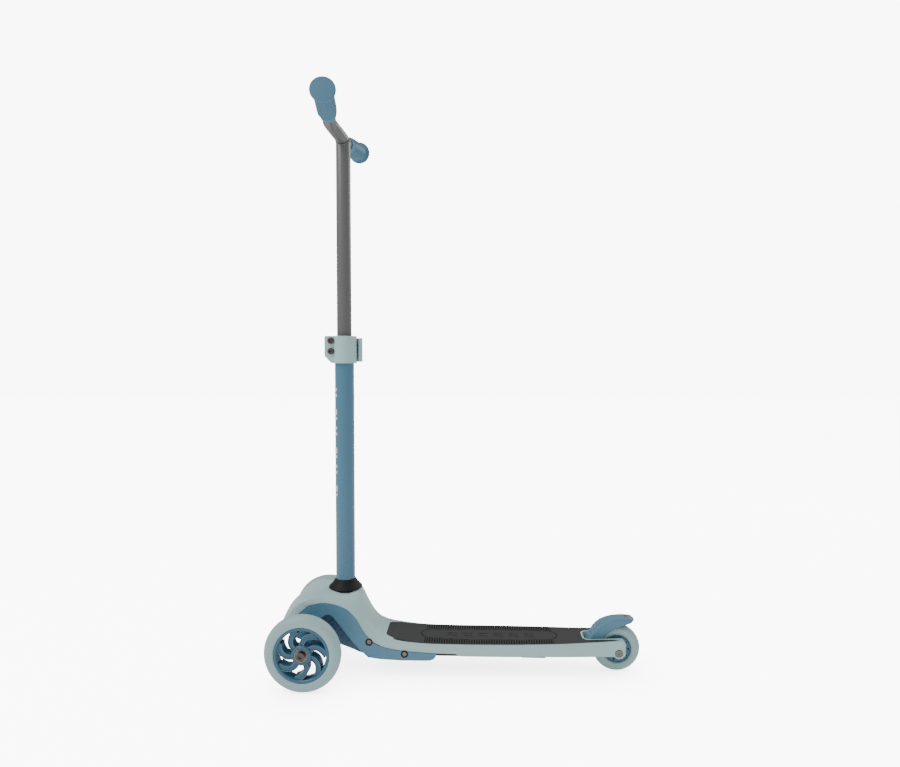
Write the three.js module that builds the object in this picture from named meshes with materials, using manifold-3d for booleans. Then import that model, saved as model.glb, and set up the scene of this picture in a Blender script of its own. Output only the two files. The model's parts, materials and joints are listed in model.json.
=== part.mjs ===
// Child's lean-to-steer kick scooter: two steered front wheels, one rear wheel, telescopic T-bar.
// Millimetres. +X forward, +Y to the rider's left, +Z up, origin on the floor under the middle.
import * as THREE from "three";
import { mergeVertices } from "three/addons/utils/BufferGeometryUtils.js";
import Module from "manifold-3d";

const wasm = await Module();
wasm.setup();

// ---------------------------------------------------------------- driving dimensions
const GAP = 0.3; // between pieces that touch
const FRONT_AXLE = { x: 247.5, z: 62.5 };
const REAR_AXLE = { x: -270, z: 40 };
const FRONT_WHEEL = { radius: 62.5, rim: 45, width: 24, inner: 88, hub: 16, spokes: 7 };
const REAR_WHEEL = { radius: 40, rim: 24, width: 24, spokes: 0 };
const BEARING = { outer: 11, bore: 4, width: 7 };
const AXLE_BOLT = 3.7; // shaft radius of the wheel bolts

const WALL = 4; // deck shell
const HOUSING_WALL = 3.5;
const MAT = { recess: 2, proud: 0.6 };
const SLOT = { half: 17, front: -214, corner: 8 }; // rear wheel slot in the deck
const ARM_END = -282;

const STEM_X = 197;
const LOWER_TUBE = { outer: 16.5, inner: 15, bottom: 104.5, top: 571 };
const STEM_BOLT = { z: 111.5, radius: 3, head: 5.5 };
const UPPER_TUBE = { outer: 12.5, inner: 11, bottom: 395, top: 905 };
const HEIGHT_HOLES = { first: 520, pitch: 52, count: 4, radius: 4.2 };
const CLAMP = { bottom: 526.5, top: 573, outer: 21.4, ear: 228.6, earHalf: 14, slit: 1.6 };
const CLAMP_BOLTS = { x: 217, heights: [564.7, 547], radius: 2.6, head: 5.5 };
const LEVER_PIN = { x: 217, y: -21.8, radius: 3.6, head: 7.2 };
const LEVER = { inner: 24.6, outer: 31.1, bottom: 528.8, top: 569.8 };

const LEAN = { z: 95, radius: 5, rear: 168, front: 242 };
const KINGPIN = { y: 70, radius: 4 };
const TIE = { x: FRONT_AXLE.x - 24, z: 66.5, thick: 5, half: 5.5 };
const BRAKE_PIN = { x: -224, z: 50, radius: 2 };
const BRAKE = { half: 14.6, inside: 12.7, clearance: 43.6 };
const BOOT = { bottom: 138.4, top: 152.5, rim: 29 };
const SIDE_SCREWS = [[149.3, 59, 76], [89.6, 39.5, 56]]; // x, z and the top of the shell's lug
const PLATE_SCREWS = [[20, 28], [-185, 24]]; // x and y
const SCREW_SHANK = 1.8;
const SCREW_HOLE = 2.1;

// ---------------------------------------------------------------- materials
const material = (color, roughness, metalness = 0) =>
  new THREE.MeshStandardMaterial({ color, roughness, metalness });
const PALE = material("#a9b9ba", 0.45);
const BLUE = material("#5c8398", 0.42);
const BLACK = material("#333333", 0.8);
const MAT_RUBBER = material("#444444", 0.85);
const TYRE = material("#a8b8b8", 0.55);
const GREY_PAINT = material("#6b6b6b", 0.4, 0.3);
const STEEL = material("#8d847d", 0.35, 0.9);

// ---------------------------------------------------------------- solids
function solid(geometry) {
  const bare = geometry.clone();
  bare.deleteAttribute("normal");
  bare.deleteAttribute("uv");
  const merged = mergeVertices(bare, 1e-4);
  return new wasm.Manifold(
    new wasm.Mesh({
      numProp: 3,
      vertProperties: new Float32Array(merged.attributes.position.array),
      triVerts: new Uint32Array(merged.index.array),
    }),
  );
}

function toGeometry(body) {
  const mesh = body.getMesh();
  const geometry = new THREE.BufferGeometry();
  geometry.setAttribute("position", new THREE.BufferAttribute(mesh.vertProperties, 3));
  geometry.setIndex(new THREE.BufferAttribute(mesh.triVerts, 1));
  geometry.computeVertexNormals();
  return geometry;
}

const union = (bodies) => bodies.reduce((whole, body) => whole.add(body));
const cut = (body, ...tools) => tools.reduce((rest, tool) => rest.subtract(tool), body);

function mirrorY(body) {
  const geometry = toGeometry(body);
  geometry.scale(1, -1, 1);
  const index = geometry.index.array;
  for (let i = 0; i < index.length; i += 3) [index[i], index[i + 1]] = [index[i + 1], index[i]];
  return solid(geometry);
}
// The same piece turned half round about the upright line through x, to serve the other side.
function turnAround(body, x) {
  const geometry = toGeometry(body);
  geometry.translate(-x, 0, 0);
  geometry.rotateZ(Math.PI);
  geometry.translate(x, 0, 0);
  return solid(geometry);
}
const onBothSides = (body) => body.add(mirrorY(body));

function box(x, y, z) {
  const geometry = new THREE.BoxGeometry(x[1] - x[0], y[1] - y[0], z[1] - z[0]);
  geometry.translate((x[0] + x[1]) / 2, (y[0] + y[1]) / 2, (z[0] + z[1]) / 2);
  return solid(geometry);
}

// A round bar of the given radius along axis, from one coordinate to the other.
function rod(axis, radius, centre, from, to, segments = 16) {
  const geometry = new THREE.CylinderGeometry(radius, radius, to - from, segments);
  geometry.translate(0, (from + to) / 2, 0);
  if (axis === "x") geometry.rotateZ(-Math.PI / 2);
  if (axis === "z") geometry.rotateX(Math.PI / 2);
  const [a, b] = centre;
  geometry.translate(...{ x: [0, a, b], y: [a, 0, b], z: [a, b, 0] }[axis]);
  return solid(geometry);
}

function ring(axis, outer, inner, centre, from, to, segments = 16) {
  const bore = rod(axis, inner, centre, from - 1, to + 1, segments);
  return cut(rod(axis, outer, centre, from, to, segments), bore);
}

// An outline of [x, z] points, extruded across the scooter from y0 to y1.
function sideExtrusion(outline, y0, y1) {
  const shape = new THREE.Shape(outline.map(([x, z]) => new THREE.Vector2(x, z)));
  const geometry = new THREE.ExtrudeGeometry(shape, { depth: y1 - y0, bevelEnabled: false });
  geometry.rotateX(Math.PI / 2);
  geometry.translate(0, y1, 0);
  return solid(geometry);
}

// An outline of [x, y] points, extruded upward from z0 to z1.
function planExtrusion(outline, z0, z1) {
  const shape = new THREE.Shape(outline.map(([x, y]) => new THREE.Vector2(x, y)));
  const geometry = new THREE.ExtrudeGeometry(shape, { depth: z1 - z0, bevelEnabled: false });
  geometry.translate(0, 0, z0);
  return solid(geometry);
}

// A smooth line through the knots, as evenly spaced [a, b] points.
function smooth(knots, steps) {
  const vectors = knots.map(([a, b]) => new THREE.Vector2(a, b));
  return new THREE.SplineCurve(vectors).getPoints(steps).map((p) => [p.x, p.y]);
}

// The line moved sideways, to the left of its direction when distance is positive.
function offset(line, distance) {
  return line.map(([a, b], i) => {
    const [a0, b0] = line[Math.max(i - 1, 0)];
    const [a1, b1] = line[Math.min(i + 1, line.length - 1)];
    const length = Math.hypot(a1 - a0, b1 - b0);
    return [a - ((b1 - b0) / length) * distance, b + ((a1 - a0) / length) * distance];
  });
}

function arc(centre, radius, startDeg, endDeg, steps) {
  const points = [];
  for (let i = 0; i <= steps; i++) {
    const turn = THREE.MathUtils.degToRad(startDeg + ((endDeg - startDeg) * i) / steps);
    points.push([centre[0] + radius * Math.cos(turn), centre[1] + radius * Math.sin(turn)]);
  }
  return points;
}

// Turns a line of [x, half width] into a closed outline with both sides.
const bothSides = (line) => [...line, ...line.map(([x, y]) => [x, -y]).reverse()];

// ---------------------------------------------------------------- body outlines
// Ridge of the shell from the nose, over the hump, down to the deck and back to the arms.
const HUMP = smooth(
  [
    [306, 76], [304, 86], [297, 100], [286, 114.5], [271, 127], [255, 134], [238, 137.2],
    [224, 138], [186, 137.8], [172, 136.2], [166, 128], [160, 114.5], [153, 99], [146, 85],
    [139, 75], [131, 69.3], [124, 65.5],
  ],
  24,
);
const DECK = smooth(
  [[124, 65.5], [98, 60.8], [64, 57.4], [6, 56], [-90, 56.4], [-170, 57.2], [-230, 59], [-276, 61]],
  8,
);
const RIDGE = [...HUMP, ...DECK.slice(1)];

// Where the pale shell meets the blue housing on the flanks, from the tail up to the nose.
const PARTING = smooth(
  [
    [37, 41], [72, 42.9], [97, 45], [122, 49.5], [140, 56.5], [151, 66.5], [161, 81.5], [169, 96],
    [181, 109.5], [195, 118], [211, 123], [228, 124.8], [244, 122.3], [259, 116.6], [271, 106],
    [281, 92], [291, 76],
  ],
  22,
);

// Half width of the body along its length.
const PLAN = [
  [306, 30], [304, 38], [296, 46],
  ...smooth([[287, 50], [265, 53.5], [246, 51], [225, 47], [200, 45.8], [150, 45.2], [37, 44.5]], 8),
  ...smooth([[-60, 43.6], [-120, 42], [-170, 39.2], [-225, 33.6], [-255, 31], [ARM_END, 30]], 6),
];
const planOutline = (grow) => bothSides(PLAN.map(([x, y], i) => [i < 3 ? x + grow : x, y + grow]));

// The underside of the blue housing, from the tail to the nose.
const KEEL = [
  [36.5, 40.6], [37, 36], [40, 32], [46, 29.2], [55, 28.6], [97, 28.6], [131, 30.3], [150, 33],
  [168, 39], [185, 46], [200, 51.5], [215, 54.5], [238, 56.5], [255, 61.5], [270, 67.5], [287, 75],
];

// The wheel-side recess in each flank of the housing, open at the bottom.
const RECESS = [
  [146, 20], [150, 32], [165, 46], [177, 59], [187, 72], [199, 87.5], [209, 100], [214, 104.6],
  [218, 105.6], [223, 104.6], [229, 100.5], [234, 93], [236.5, 84], [236.5, 20],
];
const RECESS_WALL = 37.5;

// ---------------------------------------------------------------- deck group
const slotOutline = (grow) => {
  const half = SLOT.half + grow;
  const front = SLOT.front + grow;
  const corner = SLOT.corner + grow;
  return bothSides([
    ...arc([front - corner, half - corner], corner, 0, 90, 6),
    [ARM_END - 20, half],
  ]);
};

const MAT_EDGE = [
  ...arc([115, 23], 8, 0, 60, 4),
  ...smooth(
    [[104, 37.2], [64, 40.4], [6, 41.3], [-90, 40], [-168, 36], [-225, 31], [-258, 28.3], [-273, 26.3]],
    9,
  ),
];

function matOutline(grow) {
  const tip = MAT_EDGE.length - 1;
  const ahead = (x, i) => (i === tip ? -4 * grow : x > 110 ? grow : 0);
  const outer = MAT_EDGE.map(([x, y], i) => [x + ahead(x, i), y + grow]);
  const inner = [
    [-262, 22 - grow], [-240, 20 - grow],
    ...arc([SLOT.front - 8, 9], 11 - grow, 90, 0, 6),
  ];
  return bothSides([...outer, ...inner].filter(([, y]) => y > 0.5));
}

const band = (low, high) => [
  ...RIDGE.map(([x, z]) => [x, z + high]),
  ...RIDGE.map(([x, z]) => [x, z + low]).reverse(),
];

function screwBosses() {
  const lugs = SIDE_SCREWS.map(([x, z, top]) => box([x - 6, x + 6], [33, 41], [z - 6, top]));
  return onBothSides(union(lugs));
}

function deckShell() {
  const side = [
    ...RIDGE,
    ...arc([ARM_END + 6, 55], 6, 90, 180, 4),
    ...arc([ARM_END + 6, 39.5], 6, 180, 270, 4),
    [-225, 35], [-150, 36.5], [-4, 36.5], [4, 40.6],
    ...PARTING,
  ];
  const outer = sideExtrusion(side, -60, 60).intersect(planExtrusion(planOutline(0), 0, 200));
  const ceiling = offset(RIDGE, WALL).filter(([x]) => x > -206);
  const hollow = sideExtrusion([...ceiling, [-206, 54], [-206, 20], [299, 20]], -60, 60).intersect(
    planExtrusion(planOutline(-WALL), 0, 200),
  );
  const deckBosses = PLATE_SCREWS.map(([x, y]) => rod("z", 5, [x, y], 39.4, 54, 16));
  const shell = union([
    cut(outer, hollow),
    screwBosses(),
    onBothSides(union(deckBosses)),
  ]);
  const matRecess = planExtrusion(matOutline(GAP), 0, 200).intersect(
    sideExtrusion(band(-MAT.recess, 30), -60, 60),
  );
  const stemHole = planExtrusion(
    [...arc([STEM_X, 10], 19, 0, 180, 10), ...arc([STEM_X, -10], 19, 180, 360, 10)],
    120,
    150,
  );
  const screwHoles = SIDE_SCREWS.map(([x, z]) => rod("y", SCREW_HOLE, [x, z], 30, 60, 12));
  const plateHoles = PLATE_SCREWS.map(([x, y]) => rod("z", SCREW_HOLE, [x, y], 30, 50.5, 12));
  const axle = [REAR_AXLE.x, REAR_AXLE.z];
  return cut(
    shell,
    matRecess,
    stemHole,
    planExtrusion(slotOutline(0), 0, 200),
    onBothSides(union(screwHoles)),
    onBothSides(union(plateHoles)),
    rod("y", 4.3, axle, -60, 60, 16),
    onBothSides(rod("y", 6.8, axle, 27.2, 60, 16)),
    rod("y", BRAKE_PIN.radius + GAP, [BRAKE_PIN.x, BRAKE_PIN.z], -26, 26, 16),
  );
}

function deckMat() {
  const sheet = planExtrusion(matOutline(0), 0, 200);
  return sheet.intersect(sideExtrusion(band(GAP - MAT.recess, MAT.proud), -60, 60));
}

function underplate() {
  const edge = PLAN.filter(([x]) => x < 32 && x > -200).map(([x, y]) => [x, y - 4.4]);
  const plate = planExtrusion(bothSides([[32, 40], ...edge, [-203, 31]]), 35.2, 39);
  const rib = box([-146, -107], [-37.5, 37.5], [33.4, 36]);
  const holes = PLATE_SCREWS.map(([x, y]) => rod("z", SCREW_HOLE, [x, y], 30, 45, 12));
  const sinks = PLATE_SCREWS.map(([x, y]) => rod("z", 4.3, [x, y], 30, 36.9, 16));
  return cut(plate.add(rib), onBothSides(union([...holes, ...sinks])));
}

// A pan-head screw along an axis: its head from head[0] up to head[1], its shank on to tip.
function screw(axis, centre, head, tip, radii) {
  const middle = (head[0] + head[1]) / 2;
  const shank = rod(axis, radii[0], centre, Math.min(middle, tip), Math.max(middle, tip), 12);
  return rod(axis, radii[1], centre, head[0], head[1], 16).add(shank);
}

// ---------------------------------------------------------------- lower housing and steering
function lowerHousing() {
  const seam = offset(PARTING, -0.4);
  const side = [...KEEL, ...seam.filter(([x]) => x > 38).reverse()];
  const outer = sideExtrusion(side, -60, 60).intersect(planExtrusion(planOutline(1), 0, 200));
  const floor = offset(KEEL.slice(4), HOUSING_WALL);
  const pocket = onBothSides(sideExtrusion(RECESS, RECESS_WALL, 70));
  const thickPocket = onBothSides(
    sideExtrusion(offset(RECESS, HOUSING_WALL), RECESS_WALL - HOUSING_WALL, 70),
  );
  const hollow = sideExtrusion([...floor, [286, 200], [52, 200]], -60, 60)
    .intersect(planExtrusion(planOutline(1 - HOUSING_WALL), 0, 200))
    .subtract(thickPocket);
  const arm = union([
    box([239, 256], [40, KINGPIN.y], [56.5, 68.5]),
    rod("z", 9.5, [FRONT_AXLE.x, KINGPIN.y], 56.5, 68.5, 16),
  ]);
  const posts = union([
    box([LEAN.rear + 2, LEAN.rear + 8], [-9, 9], [44, 101.5]),
    box([LEAN.front - 8, LEAN.front - 2], [-9, 9], [59, 103]),
  ]);
  const pads = onBothSides(rod("z", 8, [STEM_X, 20], 54, 60, 16));
  const body = union([cut(outer, pocket, hollow), onBothSides(arm), posts, pads]);
  const sinks = SIDE_SCREWS.map(([x, z]) => rod("y", 5.4, [x, z], 43.8, 60, 16));
  const holes = SIDE_SCREWS.map(([x, z]) => rod("y", SCREW_HOLE, [x, z], 30, 60, 12));
  const lugs = SIDE_SCREWS.map(([x, z, top]) =>
    box([x - 6.5, x + 6.5], [32, 41.5], [z - 6.5, top + 4]),
  );
  return cut(
    body,
    onBothSides(union([...sinks, ...holes, ...lugs])),
    onBothSides(box([TIE.x - 9, TIE.x + 9], [20, 45], [61.5, 72])),
    onBothSides(rod("z", KINGPIN.radius + GAP, [FRONT_AXLE.x, KINGPIN.y], 40, 90, 16)),
    rod("x", LEAN.radius, [0, LEAN.z], 150, 260, 16),
  );
}

function leanPin() {
  return rod("x", LEAN.radius - GAP, [0, LEAN.z], LEAN.rear, LEAN.front, 16);
}

function stemFoot() {
  const socket = rod("z", 19, [STEM_X, 0], 92, 116, 24);
  const hub = rod("x", 8.5, [0, LEAN.z], LEAN.rear + 9.5, LEAN.front - 9, 16);
  const wings = box([188, 206], [-27, 27], [84, 89]);
  const finger = rod("z", 4, [TIE.x, 0], TIE.z - 4.5, LEAN.z, 16);
  const shoulder = box([STEM_X, TIE.x], [-5, 5], [84, 100]);
  return cut(
    union([socket, hub, wings, finger, shoulder]),
    rod("z", LOWER_TUBE.outer + GAP, [STEM_X, 0], LOWER_TUBE.bottom - GAP, 140, 28),
    rod("x", LEAN.radius, [0, LEAN.z], 150, 260, 16),
    rod("x", STEM_BOLT.radius + GAP, [0, STEM_BOLT.z], 150, 240, 12),
  );
}

function stemBolt() {
  return screw("x", [0, STEM_BOLT.z], [216.3, 219.6], 177.6, [STEM_BOLT.radius, STEM_BOLT.head]);
}

function steeringKnuckle() {
  const { x, z } = FRONT_AXLE;
  const plate = (low, high) =>
    union([
      box([x - 9, x + 9], [KINGPIN.y, 86], [low, high]),
      rod("z", 9, [x, KINGPIN.y], low, high, 16),
    ]);
  const web = box([x - 9, x + 9], [80.5, 86], [51, 74]);
  const boss = rod("y", 7, [x, z], 80.5, 88.4, 16);
  const arm = union([
    box([TIE.x, x], [KINGPIN.y - 6, KINGPIN.y + 6], [69.3, 74]),
    rod("z", 6, [TIE.x, KINGPIN.y], 69.3, 74, 16),
    rod("z", 2.5, [TIE.x, KINGPIN.y], TIE.z - 4.5, 74, 16),
  ]);
  return cut(
    union([plate(51, 56), plate(69, 74), web, boss, arm]),
    rod("z", KINGPIN.radius + GAP, [x, KINGPIN.y], 40, 90, 16),
    rod("y", AXLE_BOLT + GAP, [x, z], 75, 95, 16),
  );
}

function kingpin() {
  const centre = [FRONT_AXLE.x, KINGPIN.y];
  return union([
    rod("z", KINGPIN.radius, centre, 47, 77, 16),
    rod("z", 6.8, centre, 74.3, 77.5, 16),
    rod("z", 6.8, centre, 46.5, 50.7, 6),
  ]);
}

function tieRod() {
  const z = [TIE.z - TIE.thick / 2, TIE.z + TIE.thick / 2];
  const end = rod("z", 6.5, [TIE.x, KINGPIN.y], ...z, 16);
  const bar = box([TIE.x - TIE.half, TIE.x + TIE.half], [-KINGPIN.y, KINGPIN.y], z);
  const middle = rod("z", 8, [TIE.x, 0], ...z, 16);
  const slot = union([-1, 1].map((s) => rod("z", 2.8, [TIE.x + s, KINGPIN.y], 50, 90, 16)));
  return cut(
    union([bar, onBothSides(end), middle]),
    onBothSides(slot),
    rod("z", 5.1, [TIE.x, 0], 50, 90, 16),
  );
}

// ---------------------------------------------------------------- wheels
function latheY(profile, centre, segments) {
  const points = [...profile, profile[0]].map(([r, y]) => new THREE.Vector2(r, y));
  const geometry = new THREE.LatheGeometry(points, segments);
  geometry.translate(centre[0], 0, centre[1]);
  return solid(geometry);
}

function tyre(wheel, centre, inner, outer, segments) {
  const crown = (outer - inner) / 2;
  const middle = (outer + inner) / 2;
  const shoulder = wheel.radius - 5;
  return latheY(
    [
      [wheel.rim, inner + 0.6], [wheel.rim + 4, inner], [shoulder - 3, inner],
      [shoulder + 2, middle - crown * 0.8], [wheel.radius, middle - crown * 0.3],
      [wheel.radius, middle + crown * 0.3], [shoulder + 2, middle + crown * 0.8],
      [shoulder - 3, outer], [wheel.rim + 4, outer], [wheel.rim, outer - 0.6],
    ],
    centre,
    segments,
  );
}

// The opening between two curved spokes, as an outline of [x, z] around the wheel's centre.
function spokeOpening(wheel, centre, turnDeg) {
  const inside = wheel.hub + 2.5;
  const outside = wheel.rim - 7;
  const sweep = (r) => turnDeg + 34 * ((r - inside) / (outside - inside)) ** 0.8;
  const pitch = 360 / wheel.spokes;
  const edge = (r, side) => {
    const half = pitch / 2 - THREE.MathUtils.radToDeg(3.6 / r);
    const turn = THREE.MathUtils.degToRad(sweep(r) + side * half);
    return [centre[0] + r * Math.cos(turn), centre[1] + r * Math.sin(turn)];
  };
  const radii = [0, 0.34, 0.67, 1].map((t) => inside + (outside - inside) * t);
  const right = radii.map((r) => edge(r, -1));
  const left = radii.map((r) => edge(r, 1)).reverse();
  const top = [-0.5, 0, 0.5].map((s) => edge(outside, s));
  const foot = [0.4, -0.4].map((s) => edge(inside, s));
  return [...right, ...top, ...left, ...foot];
}

function wheelCore(wheel, centre, inner, outer, segments) {
  const rim = wheel.rim - GAP;
  const disc = ring("y", rim, BEARING.bore + 4.5, centre, inner + 0.8, outer - 0.8, segments);
  const depth = 0.5 + BEARING.width + GAP;
  const seats = [
    rod("y", BEARING.outer + GAP, centre, inner - 1, inner + depth, 20),
    rod("y", BEARING.outer + GAP, centre, outer - depth, outer + 1, 20),
  ];
  const pitch = 360 / wheel.spokes;
  const openings = Array.from({ length: wheel.spokes }, (_, i) =>
    sideExtrusion(spokeOpening(wheel, centre, (i + 0.5) * pitch - 8), inner - 1, outer + 1),
  );
  return cut(disc, ...seats, ...openings);
}

function bearing(centre, start) {
  return ring("y", BEARING.outer, BEARING.bore, centre, start, start + BEARING.width, 16);
}

function frontAxleBolt() {
  const centre = [FRONT_AXLE.x, FRONT_AXLE.z];
  const bolt = screw("y", centre, [112.3, 116], 81.5, [AXLE_BOLT, 7]);
  return cut(bolt, rod("y", 2.6, centre, 113.8, 120, 6));
}

function rearAxleBolt() {
  const centre = [REAR_AXLE.x, REAR_AXLE.z];
  const bolt = screw("y", centre, [27.5, 29.8], -30.2, [AXLE_BOLT, 5.6]);
  return cut(bolt, rod("y", 2, centre, 28.2, 35, 6));
}

function rearAxleNut() {
  const centre = [REAR_AXLE.x, REAR_AXLE.z];
  const hexagon = rod("y", 6.2, centre, -30.2, -27.6, 6);
  return cut(hexagon, rod("y", AXLE_BOLT + GAP, centre, -40, -20, 16));
}

// ---------------------------------------------------------------- brake
function brakeFender() {
  const top = smooth(
    [
      [-218.5, 53], [-222.5, 59], [-227, 66.5], [-232, 74], [-239, 80.5], [-252.4, 88],
      [-263, 91.2], [-284, 93], [-295, 92.6], [-300.3, 89.6],
    ],
    22,
  );
  const skirt = [
    [-296, 87], [-290, 83.8], [-283, 81.6], [-274, 79.5], [-263, 74.6], [-253, 67.6],
    [-244.5, 58.5], [-236, 50],
  ];
  const pivot = [BRAKE_PIN.x, BRAKE_PIN.z];
  const blank = sideExtrusion([...top, ...skirt, [-230, 46]], -BRAKE.half, BRAKE.half);
  const barrel = rod("y", 5.6, pivot, -BRAKE.half, BRAKE.half, 16);
  const axle = [REAR_AXLE.x, REAR_AXLE.z];
  return cut(
    blank.add(barrel),
    rod("y", BRAKE.clearance, axle, -BRAKE.inside, BRAKE.inside, 56),
    rod("y", BRAKE_PIN.radius + GAP, pivot, -20, 20, 16),
    rod("y", 6.4, pivot, -4.2, 4.2, 16),
    rod("z", 2.2, [-287.5, 0], 70, 100, 16),
    rod("z", 4.6, [-287.5, 0], 92, 100, 16),
  );
}

function brakePad() {
  const centre = [REAR_AXLE.x, REAR_AXLE.z];
  const outer = arc(centre, BRAKE.clearance - GAP, 74, 106, 8);
  const inner = arc(centre, BRAKE.clearance - GAP - 1, 106, 74, 8);
  const tail = [[-284, 81.3], [-291.5, 84.1], [-291.8, 83], [-284.2, 80.2]];
  const strip = sideExtrusion([...outer, ...tail, ...inner], -9, 9);
  return cut(strip, rod("z", 2.2, [-287.5, 0], 70, 90, 16));
}

function brakeRivet() {
  const centre = [-287.5, 0];
  return union([
    rod("z", 1.9, centre, 81.4, 93, 12),
    rod("z", 4.2, centre, 92.3, 93.6, 16),
  ]);
}

// ---------------------------------------------------------------- stem and clamp
function lowerTube() {
  const { outer, inner, bottom, top } = LOWER_TUBE;
  const rear = Array.from({ length: HEIGHT_HOLES.count }, (_, i) => {
    const z = HEIGHT_HOLES.first - i * HEIGHT_HOLES.pitch;
    return rod("x", HEIGHT_HOLES.radius, [0, z], 170, STEM_X, 12);
  });
  return cut(
    ring("z", outer, inner, [STEM_X, 0], bottom, top, 28),
    ...rear,
    rod("x", STEM_BOLT.radius + GAP, [0, STEM_BOLT.z], 150, 240, 12),
    box([STEM_X, 230], [-1.5, 1.5], [534, 580]),
  );
}

function tubeBush() {
  const centre = [STEM_X, 0];
  const sleeve = ring("z", LOWER_TUBE.inner - GAP, UPPER_TUBE.outer + GAP, centre, 532, 573, 16);
  return sleeve.add(ring("z", LOWER_TUBE.outer, UPPER_TUBE.outer + GAP, centre, 571.3, 573, 16));
}

function clampCollar() {
  const { bottom, top, outer, ear, earHalf, slit } = CLAMP;
  const ears = sideExtrusion(
    [
      [STEM_X, bottom], [214, bottom], [218, bottom + 1.2], [ear, 539], [ear, top - 1.5],
      [ear - 1.5, top], [STEM_X, top],
    ],
    -earHalf,
    earHalf,
  );
  const bolts = CLAMP_BOLTS.heights.map((z) =>
    rod("y", CLAMP_BOLTS.radius + GAP, [CLAMP_BOLTS.x, z], -30, 30, 16),
  );
  return cut(
    rod("z", outer, [STEM_X, 0], bottom, top, 32).add(ears),
    rod("z", LOWER_TUBE.outer + GAP, [STEM_X, 0], bottom - 1, top + 1, 28),
    box([STEM_X, ear + 5], [-slit, slit], [bottom - 1, top + 1]),
    ...bolts,
    ...CLAMP_BOLTS.heights.map((z) =>
      rod("y", CLAMP_BOLTS.head + 0.5, [CLAMP_BOLTS.x, z], earHalf, 40),
    ),
  );
}

function clampBolt(z) {
  const centre = [CLAMP_BOLTS.x, z];
  const { radius, head } = CLAMP_BOLTS;
  const bolt = screw("y", centre, [14.3, 18.3], LEVER_PIN.y + 0.6, [radius, head]);
  return cut(bolt, rod("y", 2.1, centre, 15.8, 20, 6));
}

function leverPin() {
  const centre = [LEVER_PIN.x, LEVER_PIN.y];
  const bolts = CLAMP_BOLTS.heights.map((z) =>
    rod("y", CLAMP_BOLTS.radius + GAP, [centre[0], z], -30, 30, 16),
  );
  return cut(rod("z", LEVER_PIN.radius, centre, LEVER.bottom, LEVER.top, 16), ...bolts);
}

function clampLever() {
  const centre = [STEM_X, 0];
  const pivot = [LEVER_PIN.x, LEVER_PIN.y];
  const { inner, outer, bottom, top } = LEVER;
  const handle = planExtrusion(
    [...arc(centre, outer, -60, -181, 16), ...arc(centre, inner, -181, -60, 16)],
    bottom,
    top,
  );
  const head = rod("z", LEVER_PIN.head, pivot, bottom, top, 16);
  const bridge = planExtrusion([[203, -24], [206, -29.5], [214, -28], [214, -22]], bottom, top);
  const bolts = CLAMP_BOLTS.heights.map((z) => box([213.8, 245], [-31, 0], [z - 3.3, z + 3.3]));
  return cut(
    union([handle, bridge, head]),
    rod("z", LEVER_PIN.radius + GAP, pivot, bottom - 1, top + 1, 16),
    rod("z", CLAMP.outer + 1, centre, bottom - 1, top + 1, 40),
    box([200, 240], [-CLAMP.earHalf - GAP, 11], [bottom - 1, top + 1]),
    ...bolts,
  );
}

function stemBoot() {
  const profile = [
    [17, BOOT.top], [17, 149], [21, BOOT.bottom], [BOOT.rim, BOOT.bottom], [BOOT.rim, 141],
    [23, 146], [19.5, BOOT.top], [17, BOOT.top],
  ];
  const geometry = new THREE.LatheGeometry(profile.map(([r, z]) => new THREE.Vector2(r, z)), 28);
  geometry.rotateX(Math.PI / 2);
  geometry.translate(STEM_X, 0, 0);
  return solid(geometry);
}

// ---------------------------------------------------------------- handlebar
function barPath() {
  const path = new THREE.CurvePath();
  const left = [new THREE.Vector3(209, 50, 918.6), new THREE.Vector3(196.4, 154.5, 930.1)];
  const right = left.map((p) => new THREE.Vector3(p.x, -p.y, p.z)).reverse();
  const middle = new THREE.CatmullRomCurve3(
    [
      right[1],
      new THREE.Vector3(207.5, -40, 916.6),
      new THREE.Vector3(200.5, -19, 909.2),
      new THREE.Vector3(197, 0, 905.6),
      new THREE.Vector3(200.5, 19, 909.2),
      new THREE.Vector3(207.5, 40, 916.6),
      left[0],
    ],
    false,
    "centripetal",
  );
  path.add(new THREE.LineCurve3(...right));
  path.add(middle);
  path.add(new THREE.LineCurve3(...left));
  return path;
}

function sweep(radius, path, steps, sides) {
  const section = new THREE.Shape();
  section.absarc(0, 0, radius, 0, Math.PI * 2, false);
  const outline = new THREE.Shape(section.getSpacedPoints(sides).slice(0, sides));
  return solid(
    new THREE.ExtrudeGeometry(outline, { steps, bevelEnabled: false, extrudePath: path }),
  );
}

function handlebar() {
  const upright = rod("z", UPPER_TUBE.outer, [STEM_X, 0], UPPER_TUBE.bottom, UPPER_TUBE.top, 24);
  const bore = rod("z", UPPER_TUBE.inner, [STEM_X, 0], UPPER_TUBE.bottom - 1, UPPER_TUBE.top - 9, 24);
  const bar = sweep(11, barPath(), 26, 16);
  const buttonHole = rod("x", 4, [0, HEIGHT_HOLES.first], 180, STEM_X, 12);
  return cut(upright.add(bar), bore, buttonHole);
}

function handlebarFoot() {
  return ring("z", LOWER_TUBE.inner - 0.2, UPPER_TUBE.outer + GAP, [STEM_X, 0], 396, 430, 16);
}

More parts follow.
